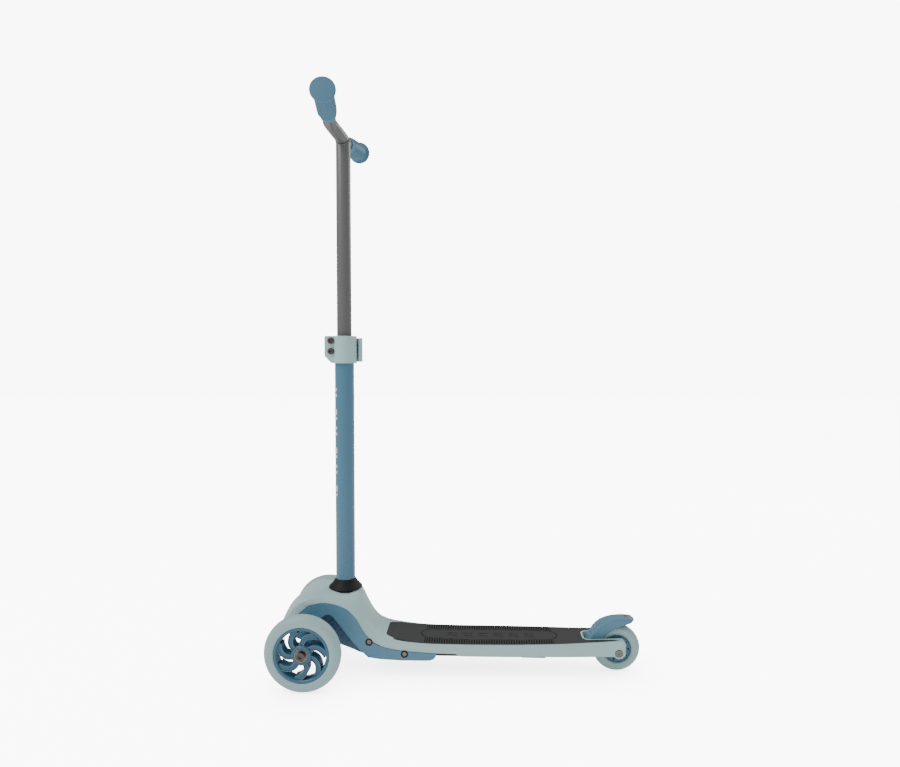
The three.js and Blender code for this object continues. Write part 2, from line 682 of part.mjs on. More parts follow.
// A grip along the straight end of the bar: a ribbed sleeve with a round end flange.
function grip() {
  const from = new THREE.Vector3(209, 50, 918.6);
  const to = new THREE.Vector3(196.4, 154.5, 930.1);
  const axis = to.clone().sub(from).normalize();
  const length = from.distanceTo(to);
  const bore = 11 + GAP;
  const profile = [
    [bore, 24], [13, 24], [15, 30], [16.2, 40], [16.2, length - 4], [19.8, length - 2],
    [19.8, length + 3], [0, length + 3], [0, length + GAP], [bore, length + GAP],
  ];
  const points = profile.map(([r, y]) => new THREE.Vector2(r, y));
  points.push(points[0].clone());
  const geometry = new THREE.LatheGeometry(points, 28);
  geometry.applyQuaternion(
    new THREE.Quaternion().setFromUnitVectors(new THREE.Vector3(0, 1, 0), axis),
  );
  geometry.translate(from.x, from.y, from.z);
  return solid(geometry);
}

function snapButton() {
  const z = HEIGHT_HOLES.first;
  return rod("x", 3.6, [0, z], STEM_X - 14.5, STEM_X - 9.6, 16);
}

// ---------------------------------------------------------------- assembly
const scooter = new THREE.Group();

function add(name, body, look) {
  const mesh = new THREE.Mesh(toGeometry(body), look);
  mesh.name = name;
  scooter.add(mesh);
}

function addPair(name, body, look) {
  add(`${name}_left`, body, look);
  add(`${name}_right`, mirrorY(body), look);
}

add("deck_shell", deckShell(), PALE);
add("lower_housing", lowerHousing(), BLUE);
add("deck_underplate", underplate(), BLACK);
add("deck_mat", deckMat(), MAT_RUBBER);
add("stem_boot", stemBoot(), BLACK);
const sideScrew = ([x, z]) => screw("y", [x, z], [44.1, 45.9], 34, [SCREW_SHANK, 3.7]);
const plateScrew = (centre) => screw("z", centre, [34.9, 36.6], 49, [SCREW_SHANK, 4]);
addPair("front_side_screw", sideScrew(SIDE_SCREWS[0]), STEEL);
addPair("rear_side_screw", sideScrew(SIDE_SCREWS[1]), STEEL);
addPair("front_plate_screw", plateScrew(PLATE_SCREWS[0]), STEEL);
addPair("rear_plate_screw", plateScrew(PLATE_SCREWS[1]), STEEL);

add("stem_foot", stemFoot(), BLACK);
add("stem_bolt", stemBolt(), STEEL);
add("lean_pin", leanPin(), STEEL);
addPair("centring_spring", ring("z", 6.5, 4, [STEM_X, 20], 60.3, 83.7, 16), STEEL);
addPair("steering_knuckle", steeringKnuckle(), BLUE);
addPair("kingpin", kingpin(), STEEL);
add("tie_rod", tieRod(), BLACK);

const frontCentre = [FRONT_AXLE.x, FRONT_AXLE.z];
const frontSpan = [FRONT_WHEEL.inner, FRONT_WHEEL.inner + FRONT_WHEEL.width];
addPair("front_tyre", tyre(FRONT_WHEEL, frontCentre, ...frontSpan, 40), TYRE);
const frontCore = wheelCore(FRONT_WHEEL, frontCentre, ...frontSpan, 48);
add("front_wheel_core_left", frontCore, BLUE);
add("front_wheel_core_right", turnAround(frontCore, FRONT_AXLE.x), BLUE);
addPair("front_inner_bearing", bearing(frontCentre, frontSpan[0] + 0.7), STEEL);
addPair("front_outer_bearing", bearing(frontCentre, frontSpan[1] - 0.7 - BEARING.width), STEEL);
addPair("front_axle_bolt", frontAxleBolt(), STEEL);

const rearCentre = [REAR_AXLE.x, REAR_AXLE.z];
const rearSpan = [-REAR_WHEEL.width / 2, REAR_WHEEL.width / 2];
add("rear_tyre", tyre(REAR_WHEEL, rearCentre, ...rearSpan, 32), TYRE);
add("rear_wheel_core", wheelCore(REAR_WHEEL, rearCentre, ...rearSpan, 32), BLUE);
addPair("rear_bearing", bearing(rearCentre, rearSpan[1] - 0.7 - BEARING.width), STEEL);
addPair("rear_spacer", ring("y", 6.2, 4.1, rearCentre, 11.7, SLOT.half - GAP, 16), STEEL);
add("rear_axle_bolt", rearAxleBolt(), STEEL);
add("rear_axle_nut", rearAxleNut(), STEEL);

add("brake_fender", brakeFender(), BLUE);
add("brake_pad", brakePad(), STEEL);
add("brake_rivet", brakeRivet(), STEEL);
const brakePivot = [BRAKE_PIN.x, BRAKE_PIN.z];
add("brake_pin", rod("y", BRAKE_PIN.radius, brakePivot, -25, 25, 16), STEEL);
add("brake_spring", ring("y", 5.4, BRAKE_PIN.radius + GAP, brakePivot, -3.8, 3.8, 16), STEEL);

add("lower_tube", lowerTube(), BLUE);
add("tube_bush", tubeBush(), BLACK);
add("clamp_collar", clampCollar(), PALE);
add("upper_clamp_bolt", clampBolt(CLAMP_BOLTS.heights[0]), STEEL);
add("lower_clamp_bolt", clampBolt(CLAMP_BOLTS.heights[1]), STEEL);
add("lever_pin", leverPin(), STEEL);
add("clamp_lever", clampLever(), PALE);
add("handlebar", handlebar(), GREY_PAINT);
add("handlebar_foot", handlebarFoot(), BLACK);
add("snap_button", snapButton(), STEEL);
addPair("grip", grip(), BLUE);

export default scooter;
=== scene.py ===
"""Looks for a child's three-wheel kick scooter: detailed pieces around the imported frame.

Sizes here are millimetres, turned into metres when a mesh is made.
+X is forward, +Y is to the rider's left, +Z is up, and the origin is on the floor.
"""

import json
import math

import bmesh
import bpy
import numpy as np
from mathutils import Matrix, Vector


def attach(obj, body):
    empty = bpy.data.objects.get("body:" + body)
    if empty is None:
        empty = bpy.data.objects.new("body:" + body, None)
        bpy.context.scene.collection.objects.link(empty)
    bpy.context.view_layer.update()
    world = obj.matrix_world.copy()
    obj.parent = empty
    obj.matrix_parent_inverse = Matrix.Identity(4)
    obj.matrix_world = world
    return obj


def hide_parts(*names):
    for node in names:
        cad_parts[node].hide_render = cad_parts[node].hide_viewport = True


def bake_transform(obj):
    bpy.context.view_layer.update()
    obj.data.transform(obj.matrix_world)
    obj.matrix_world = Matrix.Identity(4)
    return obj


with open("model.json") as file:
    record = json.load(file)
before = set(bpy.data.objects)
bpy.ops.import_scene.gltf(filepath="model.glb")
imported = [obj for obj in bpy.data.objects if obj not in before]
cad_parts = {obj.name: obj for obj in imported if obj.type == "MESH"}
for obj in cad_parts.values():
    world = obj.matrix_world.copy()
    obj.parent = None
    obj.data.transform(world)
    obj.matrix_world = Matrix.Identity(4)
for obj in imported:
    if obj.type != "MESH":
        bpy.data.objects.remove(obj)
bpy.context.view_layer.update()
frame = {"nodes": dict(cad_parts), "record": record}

MM = 0.001
FULL_TURN = 2 * math.pi
MERGE_DISTANCE = 0.004 * MM
SMOOTH_ANGLE = math.radians(32)

FRONT_AXLE = (247.5, 62.5)
REAR_AXLE = (-270.0, 40.0)
STEM_X = 197.0
SIDE_SCREWS = ((149.3, 59.0), (89.6, 39.5))


# ---------------------------------------------------------------- camera, light and floor
def add_camera():
    """A level-ish view of the scooter's left side, slightly from behind and above."""
    data = bpy.data.cameras.new("camera")
    data.sensor_width = 36
    data.lens = 27.07
    camera = bpy.data.objects.new("camera", data)
    camera.location = (-0.0333, 1.1573, 0.5359)
    view = Vector((0.04178, -0.99840, -0.03807))
    camera.rotation_euler = view.to_track_quat("-Z", "Y").to_euler()
    bpy.context.collection.objects.link(camera)
    bpy.context.scene.camera = camera


def add_area_light(name, place, target, size, watts, tint=(1, 1, 1)):
    data = bpy.data.lights.new(name, "AREA")
    data.shape = "DISK"
    data.size = size
    data.energy = watts
    data.color = tint
    light = bpy.data.objects.new(name, data)
    light.location = place
    aim = Vector(target) - Vector(place)
    light.rotation_euler = aim.to_track_quat("-Z", "Y").to_euler()
    bpy.context.collection.objects.link(light)


LIGHT_GIVEN = 0.55  # strength of the surround as a light
WHITE_SEEN = 9.0  # strength of the surround and the floor as they look
PAINTED_SHADOW_SEEN = 4.0  # strength of the floor close under the scooter, where ambient occlusion dims it into a painted contact shadow


def seen_white(nodes, links, lighting, seen):
    """A strength that is one value for the light it gives and another for how bright it looks."""
    path = nodes.new("ShaderNodeLightPath")
    strength = nodes.new("ShaderNodeMapRange")
    strength.inputs["To Min"].default_value = lighting
    strength.inputs["To Max"].default_value = seen
    links.new(path.outputs["Is Camera Ray"], strength.inputs["Value"])
    return strength


def add_studio():
    """A white surround, a large soft light above the front left and a weaker one behind, and a white
    floor whose glow is dimmed near the scooter as a painted contact shadow.
    """
    world = bpy.data.worlds.new("studio")
    world.use_nodes = True
    nodes, links = world.node_tree.nodes, world.node_tree.links
    background = nodes["Background"]
    background.inputs["Color"].default_value = (1, 1, 1, 1)
    strength = seen_white(nodes, links, LIGHT_GIVEN, WHITE_SEEN)
    links.new(strength.outputs["Result"], background.inputs["Strength"])
    bpy.context.scene.world = world
    middle = (0, 0, 0.2)
    add_area_light("key_light", (1.5, 0.9, 2.2), middle, 1.4, 34)
    add_area_light("back_light", (-1.5, -1.4, 1.6), middle, 1.2, 15)

    half = 8.0
    corners = [(-half, -half, 0), (half, -half, 0), (half, half, 0), (-half, half, 0)]
    mesh = bpy.data.meshes.new("floor")
    mesh.from_pydata(corners, [], [(0, 1, 2, 3)])
    floor = bpy.data.objects.new("floor", mesh)
    bpy.context.collection.objects.link(floor)
    paint = bpy.data.materials.new("white_floor")
    paint.use_nodes = True
    nodes, links = paint.node_tree.nodes, paint.node_tree.links
    shader = nodes["Principled BSDF"]
    shader.inputs["Base Color"].default_value = (0.8, 0.8, 0.8, 1)
    shader.inputs["Roughness"].default_value = 0.9
    shader.inputs["Specular IOR Level"].default_value = 0.0
    shader.inputs["Emission Color"].default_value = (1, 1, 1, 1)
    seen = seen_white(nodes, links, 0.05, 1.0)
    # Painted contact shadow: ambient occlusion lowers the floor's glow under and near the scooter.
    shade = nodes.new("ShaderNodeAmbientOcclusion")
    shade.inputs["Distance"].default_value = 0.09
    open_sky = nodes.new("ShaderNodeMapRange")
    open_sky.inputs["From Min"].default_value = 0.2
    open_sky.inputs["To Min"].default_value = PAINTED_SHADOW_SEEN
    open_sky.inputs["To Max"].default_value = WHITE_SEEN
    links.new(shade.outputs["AO"], open_sky.inputs["Value"])
    glow = nodes.new("ShaderNodeMath")
    glow.operation = "MULTIPLY"
    links.new(open_sky.outputs["Result"], glow.inputs[0])
    links.new(seen.outputs["Result"], glow.inputs[1])
    links.new(glow.outputs[0], shader.inputs["Emission Strength"])
    mesh.materials.append(paint)


# ---------------------------------------------------------------- shader groups and materials
def linear(value):
    """A 0-255 display level as linear light."""
    level = value / 255
    return level / 12.92 if level <= 0.04045 else ((level + 0.055) / 1.055) ** 2.4


def colour(red, green, blue):
    return (linear(red), linear(green), linear(blue), 1.0)


def group_inputs(tree, sockets):
    for name, kind, default in sockets:
        socket = tree.interface.new_socket(name=name, in_out="INPUT", socket_type=kind)
        if default is not None:
            socket.default_value = default


def group_outputs(tree, sockets):
    for name, kind in sockets:
        tree.interface.new_socket(name=name, in_out="OUTPUT", socket_type=kind)


def moulded_group():
    """Two sizes of noise: a slow drift of colour and roughness, and a fine grain for bump."""
    tree = bpy.data.node_groups.new("moulded_surface", "ShaderNodeTree")
    group_inputs(tree, [
        ("Colour", "NodeSocketColor", (0.5, 0.5, 0.5, 1)),
        ("Drift", "NodeSocketFloat", 0.05),
        ("Roughness", "NodeSocketFloat", 0.45),
        ("Roughness Drift", "NodeSocketFloat", 0.08),
        ("Grain Scale", "NodeSocketFloat", 1500.0),
        ("Grain Depth", "NodeSocketFloat", 0.1),
    ])
    group_outputs(tree, [
        ("Colour", "NodeSocketColor"),
        ("Roughness", "NodeSocketFloat"),
        ("Normal", "NodeSocketVector"),
    ])
    nodes, links = tree.nodes, tree.links
    given = nodes.new("NodeGroupInput")
    result = nodes.new("NodeGroupOutput")
    place = nodes.new("ShaderNodeTexCoord")

    slow = nodes.new("ShaderNodeTexNoise")
    slow.inputs["Scale"].default_value = 22
    slow.inputs["Detail"].default_value = 3
    fine = nodes.new("ShaderNodeTexNoise")
    fine.inputs["Detail"].default_value = 2
    for noise in (slow, fine):
        links.new(place.outputs["Object"], noise.inputs["Vector"])
    links.new(given.outputs["Grain Scale"], fine.inputs["Scale"])

    centred = nodes.new("ShaderNodeMath")
    centred.operation = "SUBTRACT"
    centred.inputs[1].default_value = 0.5
    links.new(slow.outputs["Fac"], centred.inputs[0])

    drift = nodes.new("ShaderNodeMath")
    drift.operation = "MULTIPLY_ADD"
    drift.inputs[2].default_value = 1.0
    links.new(centred.outputs[0], drift.inputs[0])
    links.new(given.outputs["Drift"], drift.inputs[1])
    shade = nodes.new("ShaderNodeHueSaturation")
    links.new(given.outputs["Colour"], shade.inputs["Color"])
    links.new(drift.outputs[0], shade.inputs["Value"])
    links.new(shade.outputs["Color"], result.inputs["Colour"])

    rough = nodes.new("ShaderNodeMath")
    rough.operation = "MULTIPLY_ADD"
    links.new(centred.outputs[0], rough.inputs[0])
    links.new(given.outputs["Roughness Drift"], rough.inputs[1])
    links.new(given.outputs["Roughness"], rough.inputs[2])
    links.new(rough.outputs[0], result.inputs["Roughness"])

    bump = nodes.new("ShaderNodeBump")
    bump.inputs["Distance"].default_value = 0.0002
    links.new(given.outputs["Grain Depth"], bump.inputs["Strength"])
    links.new(fine.outputs["Fac"], bump.inputs["Height"])
    links.new(bump.outputs["Normal"], result.inputs["Normal"])
    return tree


MOULDED = moulded_group()


def surface(name, tone, roughness, drift=0.05, grain=(1500, 0.1), metallic=0.0, coat=0.0, specular=0.5):
    """A material whose colour, roughness and grain come from the moulded surface group."""
    material = bpy.data.materials.new(name)
    material.use_nodes = True
    nodes, links = material.node_tree.nodes, material.node_tree.links
    shader = nodes["Principled BSDF"]
    shader.inputs["Metallic"].default_value = metallic
    shader.inputs["Coat Weight"].default_value = coat
    shader.inputs["Coat Roughness"].default_value = 0.25
    shader.inputs["Specular IOR Level"].default_value = specular
    group = nodes.new("ShaderNodeGroup")
    group.node_tree = MOULDED
    group.inputs["Colour"].default_value = tone
    group.inputs["Drift"].default_value = drift
    group.inputs["Roughness"].default_value = roughness
    group.inputs["Grain Scale"].default_value = grain[0]
    group.inputs["Grain Depth"].default_value = grain[1]
    links.new(group.outputs["Colour"], shader.inputs["Base Color"])
    links.new(group.outputs["Roughness"], shader.inputs["Roughness"])
    links.new(group.outputs["Normal"], shader.inputs["Normal"])
    return material


PALE = surface("pale_plastic", colour(176, 207, 208), 0.42, 0.04, (1800, 0.12))
BLUE = surface("blue_plastic", colour(88, 134, 159), 0.4, 0.06, (1800, 0.12))
# Painted shade: a darker blue for the housing's wheel recesses and their ribs, in place of the shade
# that falls inside them.
BLUE_RECESS_SHADE = surface("blue_plastic_recess_shade", colour(60, 93, 115), 0.5, 0.08, (1500, 0.15))
WHEEL_BLUE = surface("wheel_blue_plastic", colour(62, 104, 128), 0.36, 0.06, (1500, 0.1))
BLACK = surface("black_plastic", colour(30, 30, 31), 0.55, 0.1, (1600, 0.2))
MAT_RUBBER = surface("mat_rubber", colour(58, 58, 59), 0.72, 0.08, (2400, 0.4), specular=0.3)
# Painted shade: a darker rubber for the mat's grooves and sunk lines, in place of the shade that falls
# in them.
MAT_GROOVE_SHADE = surface("mat_groove_shade", colour(22, 22, 23), 0.8, 0.08, (2400, 0.3), specular=0.2)
BOOT_RUBBER = surface("boot_rubber", colour(14, 14, 15), 0.6, 0.1, (2000, 0.3), specular=0.3)
TYRE = surface("tyre_urethane", colour(160, 190, 193), 0.5, 0.04, (1200, 0.08))
BLUE_PAINT = surface("blue_paint", colour(72, 121, 147), 0.38, 0.04, (3000, 0.12), coat=0.2)
GREY_PAINT = surface("grey_paint", colour(96, 96, 96), 0.4, 0.05, (3000, 0.15), coat=0.2)
GRIP_RUBBER = surface("grip_rubber", colour(85, 128, 152), 0.6, 0.06, (2200, 0.3), specular=0.35)
STEEL = surface("plated_steel", colour(132, 127, 122), 0.32, 0.12, (900, 0.15), metallic=1.0)
DARK_STEEL = surface("dark_steel", colour(98, 92, 87), 0.4, 0.15, (900, 0.2), metallic=1.0)
WHITE_PRINT = surface("white_print", colour(225, 230, 230), 0.5, 0.03, (1500, 0.05))


# ---------------------------------------------------------------- shape helpers
def smooth(knots, steps):
    """The smooth line through the knots: on each stretch a cubic whose slopes are the mean of
    the steps to the two neighbouring knots."""
    knots = np.asarray(knots, float)
    padded = np.vstack([2 * knots[0] - knots[1], knots, 2 * knots[-1] - knots[-2]])
    place = np.linspace(0, len(knots) - 1, steps + 1)
    index = np.minimum(place.astype(int), len(knots) - 2)
    t = (place - index)[:, None]
    a, b, c, d = (padded[index + k] for k in range(4))
    cubic = -a + 3 * b - 3 * c + d
    square = 2 * a - 5 * b + 4 * c - d
    return 0.5 * (2 * b + (c - a) * t + square * t**2 + cubic * t**3)


def rounded(corners, radius, steps=4, closed=True):
    """The outline with each corner replaced by a quadratic curve that starts and ends the
    radius away from it. radius is one number, or one for each corner."""
    corners = np.asarray(corners, float)
    radius = np.broadcast_to(np.asarray(radius, float), len(corners))[:, None]

    def toward(target):
        edge = target - corners
        length = np.maximum(np.linalg.norm(edge, axis=1, keepdims=True), 1e-9)
        return corners + edge * np.minimum(radius / length, 0.48)

    start = toward(np.roll(corners, 1, 0))[:, None]
    end = toward(np.roll(corners, -1, 0))[:, None]
    t = np.linspace(0, 1, steps + 1)[None, :, None]
    curves = start * (1 - t) ** 2 + 2 * corners[:, None] * t * (1 - t) + end * t**2
    line = curves.reshape(-1, corners.shape[1])
    if closed:
        return line
    inner = line[steps + 1 : -(steps + 1)]
    return np.vstack([corners[:1], inner, corners[-1:]])


def grid_part(points, wrap_rows=False, wrap_columns=False):
    """The points of a (rows, columns, 3) grid and the quads between neighbours."""
    rows, columns = points.shape[:2]
    i = np.arange(rows if wrap_rows else rows - 1)
    j = np.arange(columns if wrap_columns else columns - 1)
    i, j = np.meshgrid(i, j, indexing="ij")
    below, beside = (i + 1) % rows, (j + 1) % columns
    quads = [i * columns + j, i * columns + beside, below * columns + beside, below * columns + j]
    return points.reshape(-1, 3), np.stack(quads, -1).reshape(-1, 4)


def mirrored(part):
    """The part reflected to the other side of the scooter."""
    points, quads = part
    return points * [1, -1, 1], quads[:, ::-1]


def turn_outwards(work, inside):
    """Turns an open sheet's faces over if most of their area looks toward the inside point."""
    middle = Vector(inside) * MM
    facing = sum(
        face.normal.dot(face.calc_center_median() - middle) * face.calc_area() for face in work.faces)
    if facing < 0:
        bmesh.ops.reverse_faces(work, faces=work.faces)


def make_piece(name, parts, body, material, replaces=(), angle=SMOOTH_ANGLE, inside=None):
    """One mesh from several parts in millimetres: doubles merged, faces turned outwards. An
    open sheet names a point that its faces turn away from."""
    points = []
    quads = []
    count = 0
    for part_points, part_quads in parts:
        points.append(part_points)
        quads.append(part_quads + count)
        count += len(part_points)
    mesh = bpy.data.meshes.new(name)
    mesh.from_pydata(np.vstack(points) * MM, [], np.vstack(quads).tolist())
    work = bmesh.new()
    work.from_mesh(mesh)
    bmesh.ops.remove_doubles(work, verts=work.verts, dist=MERGE_DISTANCE)
    bmesh.ops.dissolve_degenerate(work, edges=work.edges, dist=MERGE_DISTANCE)
    bmesh.ops.recalc_face_normals(work, faces=work.faces)
    if inside:
        turn_outwards(work, inside)
    work.to_mesh(mesh)
    work.free()
    mesh.shade_smooth()
    mesh.set_sharp_from_angle(angle=angle)
    mesh.materials.append(material)
    piece = bpy.data.objects.new(name, mesh)
    bpy.context.collection.objects.link(piece)
    if body:
        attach(piece, body)
    if replaces:
        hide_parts(*replaces)
    return piece


def axes_for(direction):
    """Two directions square to the given one, and to each other."""
    direction = np.asarray(direction, float) / np.linalg.norm(direction)
    helper = np.array([0, 0, 1.0]) if abs(direction[2]) < 0.9 else np.array([1.0, 0, 0])
    first = np.cross(direction, helper)
    first /= np.linalg.norm(first)
    return first, np.cross(direction, first)


def lathe(profile, origin, direction, segments=64, closed=False):
    """A profile of [radius, distance along the axis] carried once round the axis."""
    profile = np.asarray(profile, float)
    direction = np.asarray(direction, float) / np.linalg.norm(direction)
    first, second = axes_for(direction)
    turn = np.arange(segments) / segments * FULL_TURN
    around = np.cos(turn)[:, None] * first + np.sin(turn)[:, None] * second
    points = profile[:, None, :1] * around[None] + profile[:, None, 1:] * direction
    return grid_part(points + np.asarray(origin, float), closed, True)


def tube_along(path, radius, sides=40, up=(0, 0, 1)):
    """A circle of the given radii carried along the path, closed toward a point at each end."""
    path = np.asarray(path, float)
    radius = np.broadcast_to(np.asarray(radius, float), len(path))
    heading = np.gradient(path, axis=0)
    heading /= np.linalg.norm(heading, axis=1, keepdims=True)
    side = np.cross(heading, np.asarray(up, float))
    side /= np.linalg.norm(side, axis=1, keepdims=True)
    top = np.cross(side, heading)
    turn = np.arange(sides) / sides * FULL_TURN
    ring = np.cos(turn)[None, :, None] * side[:, None] + np.sin(turn)[None, :, None] * top[:, None]
    points = path[:, None] + ring * radius[:, None, None]
    ends = [np.repeat(path[k][None, None], sides, 1) for k in (0, -1)]
    return grid_part(np.concatenate([ends[0], points, ends[1]]), False, True)


def finished_copy(node, material, body, bevel=0.0):
    """A copy of a CAD node with its doubles merged and its edges softened."""
    source = frame["nodes"][node]
    work = bmesh.new()
    work.from_mesh(source.data)
    bmesh.ops.remove_doubles(work, verts=work.verts, dist=MERGE_DISTANCE)
    bmesh.ops.dissolve_limit(work, angle_limit=math.radians(0.6), verts=work.verts, edges=work.edges)
    mesh = bpy.data.meshes.new(f"{node}_finish")
    work.to_mesh(mesh)
    work.free()
    mesh.shade_smooth()
    mesh.set_sharp_from_angle(angle=SMOOTH_ANGLE)
    mesh.materials.clear()
    mesh.materials.append(material)
    piece = bpy.data.objects.new(f"{node}_finish", mesh)
    bpy.context.collection.objects.link(piece)
    if bevel:
        soften = piece.modifiers.new("soft_edges", "BEVEL")
        soften.width = bevel * MM
        soften.segments = 2
        soften.limit_method = "ANGLE"
        soften.angle_limit = math.radians(40)
        soften.harden_normals = True
    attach(piece, body)
    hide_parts(node)
    return piece


def socket_screw(name, node, body, centre, direction, head, height, socket, shank, length,
                 material=STEEL, sides=6):
    """A screw: a rounded head with a six-sided socket, and a plain shank behind it.
    centre is the middle of the head's seat, and direction points out through the head."""
    outline = rounded(
        [[0, -length], [shank, -length], [shank, 0], [head, 0], [head, height], [socket, height],
         [socket, height * 0.35], [0, height * 0.35]],
        [0, 0.4, 0.01, 0.2, 0.5, 0.15, 0.1, 0], 3, False)
    points, quads = lathe(outline, (0, 0, 0), (0, 0, 1), 48)
    around = np.arctan2(points[:, 1], points[:, 0])
    reach = np.hypot(points[:, 0], points[:, 1])
    wedge = FULL_TURN / sides
    hexagon = math.cos(wedge / 2) / np.cos((around % wedge) - wedge / 2)
    inside = (points[:, 2] > height * 0.3) & (reach < socket * 1.12)
    points[inside, :2] *= hexagon[inside, None]
    direction = np.asarray(direction, float)
    first, second = axes_for(direction)
    placed = points[:, :1] * first + points[:, 1:2] * second + points[:, 2:] * direction
    part = (placed + np.asarray(centre, float), quads)
    return make_piece(name, [part], body, material, (node,), math.radians(40))


# ---------------------------------------------------------------- deck shell
def deck_line(x):
    """Height of the deck's top along its length."""
    line = smooth([[124, 65.5], [98, 60.8], [64, 57.4], [6, 56], [-90, 56.4], [-170, 57.2],
                   [-230, 59], [-276, 61], [-300, 62]], 90)[::-1]
    return np.interp(x, line[:, 0], line[:, 1])


def half_width(x):
    """Half the body's width along the deck."""
    line = smooth([[165, 45.3], [150, 45.2], [37, 44.5], [-60, 43.6], [-120, 42], [-170, 39.2],
                   [-225, 33.6], [-255, 31], [-282, 30], [-300, 29.5]], 90)[::-1]
    return np.interp(x, line[:, 0], line[:, 1])


# Stations down the hump: ridge x, z, then the shoulder's x, y, z, then the seam's x, y, z, and
# the shoulder's rounding.
HUMP_STATIONS = np.array([
    [306, 76, 303.5, 45, 76.5, 291, 49, 76, 12],
    [303.5, 87, 299, 48.5, 86, 282.5, 52, 86.5, 12],
    [296.5, 101, 291.5, 51.5, 99.5, 271.5, 54.3, 102.5, 11],
    [286, 115, 281.5, 53.8, 113, 259, 54.3, 114.6, 8],
    [271, 127, 268.5, 54.3, 125.8, 252, 52.1, 120, 6],
    [255, 134, 254, 51.5, 132.6, 244, 51, 122.3, 6],
    [238, 137.2, 238, 45.5, 135.8, 232, 48.4, 124.4, 8],
    [224, 138, 224, 39.3, 136.9, 219, 46.6, 124.1, 10],
    [205, 138, 205.5, 33.5, 136.8, 204, 46, 121, 13],
    [188, 137.9, 188.5, 30, 136.6, 192, 45.8, 116.5, 15],
    [174, 136.8, 175.5, 28.5, 135, 183, 45.6, 111, 15],
    [166.5, 128, 168.5, 28.5, 126.5, 175, 45.5, 103, 15],
    [160, 114.5, 162.5, 29.5, 113.5, 169, 45.4, 96, 15],
    [153, 99, 155.5, 32, 98.5, 161.5, 45.3, 82, 14],
    [146, 85, 148, 36, 85, 153, 45.2, 69.5, 11],
    [139, 75, 140.5, 39.5, 75.5, 144, 45.1, 60, 8],
    [131, 69.3, 131.5, 42, 69.4, 133, 45, 54, 5],
    [124, 65.8, 124, 43.6, 65.7, 124, 45, 50.2, 3.5],
    [98, 60.8, 98, 44.3, 60.7, 97, 44.8, 45, 2.4],
    [64, 57.4, 64, 44.2, 57.3, 66, 44.6, 42.6, 2.2],
    [37, 56.2, 37, 44.2, 56.1, 37, 44.5, 41, 2.2],
])
SLOT_HALF = 17.0
UNDER_MAT = 1.8  # how far the shell is sunk where the mat covers it
SLOT_FRONT = -214.0
TAIL = -282.0


def shell_rows():
    """For each row along the shell: ridge point, shoulder point, seam point, rounding, the
    half width of the wheel slot and the height that its wall goes down to."""
    hump = smooth(HUMP_STATIONS, 190)
    ridge = np.stack([hump[:, 0], 0 * hump[:, 0], hump[:, 1]], -1)
    rows = [np.column_stack([ridge, hump[:, 2:5], hump[:, 5:8], hump[:, 8], 0 * hump[:, 0], hump[:, 1]])]

    def deck_rows(x, slot, floor_end, drop=0, lift=0, narrow=0, slot_narrow=0):
        x, slot, drop, lift, narrow, slot_narrow, floor_end = np.broadcast_arrays(
            *(np.asarray(v, float) for v in (x, slot, drop, lift, narrow, slot_narrow, floor_end)))
        top = deck_line(x) - drop
        side = half_width(x) - narrow
        floor = np.interp(x, [TAIL, -225, -150, -40, -4, 4, 37], [34, 35, 36.5, 36.5, 36.6, 40.6, 41])
        floor = floor + lift
        wall = np.where(floor_end > 0, floor, top)
        nil = 0 * x
        return np.column_stack([x, nil, top, x, side - 0.3, top - 0.1, x, side, floor, nil + 2.2,
                                slot + slot_narrow, wall])

    rows.append(deck_rows(np.linspace(36, SLOT_FRONT, 168), 0, 0))
    rows.append(deck_rows([SLOT_FRONT], 0, 1))
    turn = np.linspace(0, math.pi / 2, 8)
    corner = 8
    rows.append(deck_rows(SLOT_FRONT - corner + corner * np.cos(turn),
                          SLOT_HALF - corner + corner * np.sin(turn), 1))
    rows.append(deck_rows(np.linspace(-224, -274, 36), SLOT_HALF, 1))
    turn = np.linspace(0, math.pi / 2, 10)
    ease = 1 - np.cos(turn)
    rows.append(deck_rows(-275 + (TAIL + 275) * np.sin(turn), SLOT_HALF, 1, 9 * ease, 5 * ease,
                          4.5 * ease, 2 * ease))
    return np.vstack(rows)


